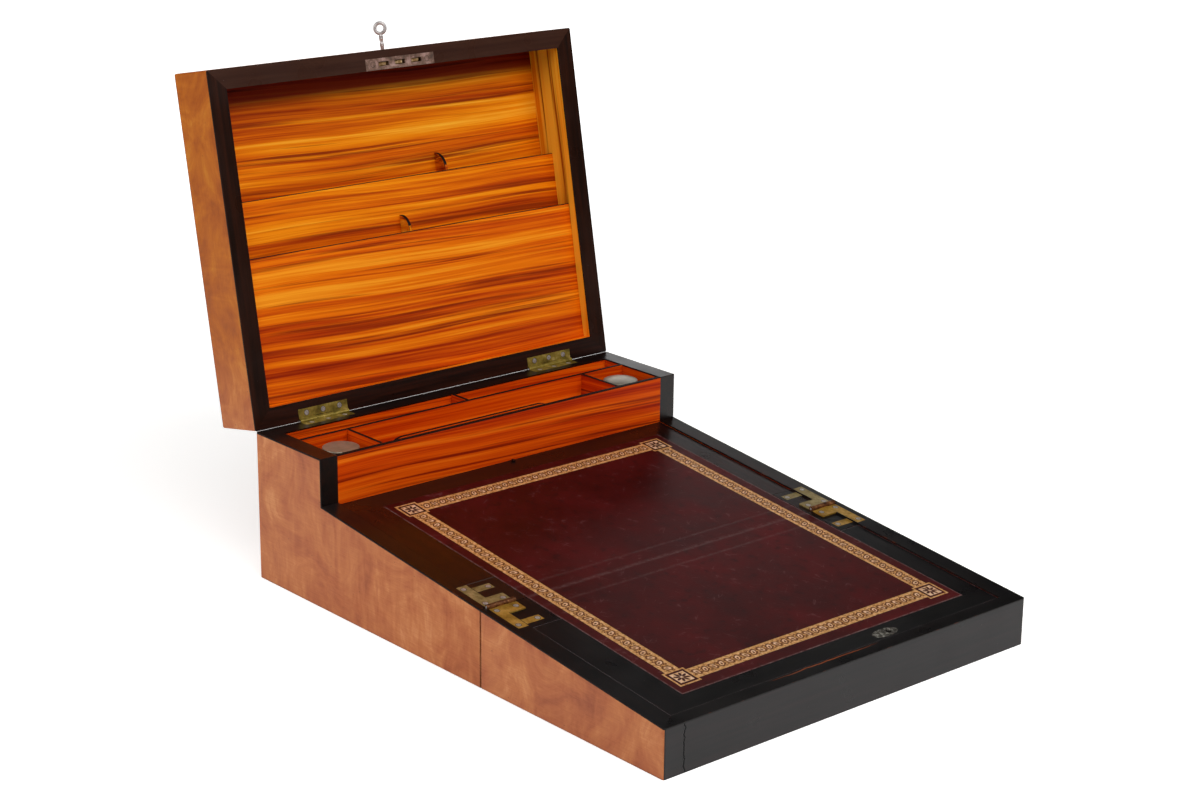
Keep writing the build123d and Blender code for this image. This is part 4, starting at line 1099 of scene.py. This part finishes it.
    # the tool's hollows keep some worn gold, so they are brown and not the colour of the hide
    hollow = add(tree, "Math", {0: most(bands), 1: 0.75}, operation="MULTIPLY")
    hide = add(tree, "Mix", {0: hollow, 6: hide, 7: linear(look["hollows"])}, data_type="RGBA")
    colour = add(tree, "Mix", {0: gilt, 6: hide, 7: gold}, data_type="RGBA")
    tree.links.new(colour.outputs[2], shader.inputs["Base Color"])
    metallic = add(tree, "Math", {0: gilt, 1: 0.35}, operation="MULTIPLY")
    tree.links.new(metallic.outputs[0], shader.inputs["Metallic"])
    gloss = add(tree, "MapRange", {0: cloud, 1: 0.3, 2: 0.7, 3: 0.38, 4: 0.52})
    roughness = add(tree, "Mix", {0: gilt, 2: gloss, 3: 0.36}, data_type="FLOAT")
    tree.links.new(roughness.outputs[0], shader.inputs["Roughness"])
    pebble = add(tree, "TexVoronoi", {"Vector": planMm, "Scale": 0.9, "Randomness": 1.0})
    pebble = add(tree, "Math", {0: pebble.outputs["Distance"], 1: 0.35}, operation="MULTIPLY")
    sunk = add(tree, "Math", {0: tooled, 1: 0.6}, operation="MULTIPLY")
    height = add(tree, "Math", {0: pebble, 1: sunk}, operation="SUBTRACT")
    bump = add(tree, "Bump", {"Height": height, "Strength": 0.5, "Distance": 0.00015})
    tree.links.new(bump.outputs[0], shader.inputs["Normal"])
    return finish


def slopeHeight(y):
    # the slope's plane in mm, through the two board hinges, which lie in the leather's surface
    upperZ = joints["upper_board_lift"]["pos_m"][2] / mm
    lowerZ = joints["lower_board_lift"]["pos_m"][2] / mm
    return lowerZ + (upperZ - lowerZ) * (y - lowerCreaseY) / (upperCreaseY - lowerCreaseY)


def dip(run):
    # how far the leather dips where it has been folded, in mm
    creases = leatherLook["creases"]
    return sum(depth * math.exp(-(((run - place) / width) ** 2)) for place, depth, width in creases)


def leatherSheet(name, low, high, finish):
    # a strip of the leather between two runs
    look = leatherLook
    runs = [low + i * (high - low) / 40 for i in range(41)]
    for place, depth, width in look["creases"]:
        runs += [place + 0.4 * k for k in range(-9, 10) if low < place + 0.4 * k < high]
    runs = sorted(set(round(r, 3) for r in runs))
    left = look["centre"] - look["halfWidth"]
    right = look["centre"] + look["halfWidth"]
    columns = [left + i * (right - left) / 60 for i in range(61)]
    shape = bmesh.new()
    plan = shape.loops.layers.uv.new("plan")
    rows = {}
    for layer, drop in (("top", 0.0), ("under", look["thick"])):
        for run in runs:
            y = jointY + run
            z = slopeHeight(y) - drop - (dip(run) if layer == "top" else 0.0)
            rows[layer, run] = [shape.verts.new((x * mm, y * mm, z * mm)) for x in columns]

    def face(corners):
        made = shape.faces.new(corners)
        for loop in made.loops:
            loop[plan].uv = (loop.vert.co.x, loop.vert.co.y - jointY * mm)

    for a, b in zip(runs, runs[1:]):
        for i in range(len(columns) - 1):
            top, nextTop = rows["top", a], rows["top", b]
            under, nextUnder = rows["under", a], rows["under", b]
            face([top[i], top[i + 1], nextTop[i + 1], nextTop[i]])
            face([nextUnder[i], nextUnder[i + 1], under[i + 1], under[i]])
        for i in (0, len(columns) - 1):
            ring = [rows["top", a][i], rows["top", b][i], rows["under", b][i], rows["under", a][i]]
            face(ring if i == 0 else ring[::-1])
    for run, turn in ((runs[0], 1), (runs[-1], -1)):
        for i in range(len(columns) - 1):
            top, under = rows["top", run], rows["under", run]
            face([top[i], under[i], under[i + 1], top[i + 1]][::turn])
    shape.normal_update()
    return keepPiece(name, shape, [finish], sharp=40)


leather = tooledLeather("Oxblood skiver, gilt tooled")
seam = leatherLook["seam"]
upperSheet = leatherSheet("leather_upper", seam, leatherLook["upperEnd"], leather)
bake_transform(upperSheet)
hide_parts("upper_board_leather")
foldSheet = leatherSheet("leather_fold", -seam, seam, leather)
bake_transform(foldSheet)
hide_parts("base_fold_leather", "flap_fold_leather")
lowerSheet = leatherSheet("leather_lower", leatherLook["lowerEnd"], -seam, leather)
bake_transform(lowerSheet)
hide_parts("lower_board_leather")
print("leather done")


# floor, light and camera
stageLook = {
    "sky": 0.2,  # what the room gives matt surfaces
    "room": 0.035,  # what shiny surfaces mirror above the horizon, away from the lamps
    "floorNear": 0.5,  # the sweep's own white near the box, where its shadow falls
    "floorFar": 1.0,
    "whiteFrom": (0.5, 1.6),  # metres from the box
    "sweep": 1.2,  # how far the paper reaches in what shiny surfaces mirror
    "floorHalf": 6.0,
    "floorLevel": -0.0002,
}


def studioWorld():
    look = stageLook
    world = bpy.data.worlds.new("Studio")
    scene.world = world
    world.use_nodes = True
    tree = world.node_tree
    tree.nodes.clear()
    rays = add(tree, "LightPath").outputs
    straight = {0: rays["Is Camera Ray"], 1: rays["Is Transmission Ray"]}
    seen = add(tree, "Math", straight, operation="MAXIMUM")
    way = add(tree, "SeparateXYZ", {0: add(tree, "TexCoord").outputs["Generated"]})
    mirrored = add(tree, "MapRange", {0: way.outputs[2], 1: -0.5, 2: -0.3, 3: 1.0, 4: look["room"]})
    unseen = add(tree, "Mix", {0: rays["Is Glossy Ray"], 2: look["sky"], 3: mirrored}, data_type="FLOAT")
    strength = add(tree, "Mix", {0: seen, 2: unseen, 3: 1.0}, data_type="FLOAT")
    light = add(tree, "Background", {"Color": (1, 1, 1, 1), "Strength": strength})
    add(tree, "OutputWorld", {"Surface": light})


def paleFloor():
    # matt white paper, bright enough to leave only the box's soft shadow on it
    look = stageLook
    half = look["floorHalf"]
    sides = ((-half, -half), (half, -half), (half, half), (-half, half))
    corners = [(x, y, look["floorLevel"]) for x, y in sides]
    mesh = bpy.data.meshes.new("floor")
    mesh.from_pydata(corners, [], [(0, 1, 2, 3)])
    white = {"Base Color": linear("#F4F4F2"), "Emission Color": (1, 1, 1, 1)}
    finish, tree, shader = newFinish("Pale paper sweep", Roughness=0.9, **white)
    rays = add(tree, "LightPath").outputs
    straight = {0: rays["Is Camera Ray"], 1: rays["Is Transmission Ray"]}
    seen = add(tree, "Math", straight, operation="MAXIMUM")
    here = add(tree, "TexCoord").outputs["Object"]
    away = add(tree, "VectorMath", {0: here}, operation="LENGTH").outputs["Value"]
    near, far = look["whiteFrom"]
    white = add(tree, "MapRange", {0: away, 1: near, 2: far, 3: look["floorNear"], 4: look["floorFar"]})
    sweep = look["sweep"]
    paper = add(tree, "MapRange", {0: away, 1: sweep, 2: 1.5 * sweep, 3: look["floorNear"], 4: 0.0})
    mirrored = add(tree, "Math", {0: rays["Is Glossy Ray"], 1: paper}, operation="MULTIPLY")
    glow = add(tree, "Math", {0: seen, 1: white}, operation="MULTIPLY")
    glow = add(tree, "Math", {0: glow, 1: mirrored}, operation="MAXIMUM")
    tree.links.new(glow.outputs[0], shader.inputs["Emission Strength"])
    mesh.materials.append(finish)
    floor = bpy.data.objects.new("floor", mesh)
    scene.collection.objects.link(floor)


softboxes = {
    # name: place, where it points, width, height, watts
    "overheadBox": ((-0.6, -0.9, 2.0), (0, -0.1, 0.1), 1.8, 1.4, 24.0),
    "leftBox": ((-1.25, 0.45, 0.65), (-0.17, 0.0, 0.1), 0.8, 0.8, 6.5),
    "frontBox": ((0.5, -1.7, 1.6), (0, 0, 0.15), 1.4, 1.0, 20.0),
    "rearStrip": ((1.9, 2.2, 0.85), (0, 0, 0.1), 1.6, 0.4, 5.5),
}


def addSoftboxes():
    for name, (place, target, width, height, watts) in softboxes.items():
        lamp = bpy.data.lights.new(name, "AREA")
        lamp.shape = "RECTANGLE"
        lamp.size = width
        lamp.size_y = height
        lamp.energy = watts
        box = bpy.data.objects.new(name, lamp)
        box.location = place
        box.rotation_euler = (Vector(target) - Vector(place)).to_track_quat("-Z", "Y").to_euler()
        scene.collection.objects.link(box)


cameraSetup = {
    "place": (-1156.5, -1383.5, 699.8),
    "turn": -41.10,  # degrees round from straight behind the writer
    "height": 17.15,
    "roll": 0.65,
    "lens": 73.74,
    "sensor": 36.0,
    "clip": (0.05, 50.0),
}


def addCamera():
    turn, height, roll = (math.radians(cameraSetup[k]) for k in ("turn", "height", "roll"))
    back = Vector((math.sin(turn) * math.cos(height), -math.cos(turn) * math.cos(height), math.sin(height)))
    right = alongZ.cross(back).normalized()
    up = back.cross(right)
    leanRight = math.cos(roll) * right + math.sin(roll) * up
    leanUp = math.cos(roll) * up - math.sin(roll) * right
    lens = bpy.data.cameras.new("camera")
    lens.lens = cameraSetup["lens"]
    lens.sensor_width = cameraSetup["sensor"]
    lens.clip_start, lens.clip_end = cameraSetup["clip"]
    camera = bpy.data.objects.new("camera", lens)
    view = Matrix((leanRight, leanUp, back)).transposed().to_4x4()
    view.translation = Vector(cameraSetup["place"]) * mm
    camera.matrix_world = view
    scene.collection.objects.link(camera)
    scene.camera = camera


studioWorld()
paleFloor()
addSoftboxes()
addCamera()
scene.view_settings.view_transform = "Standard"
print("stage set")
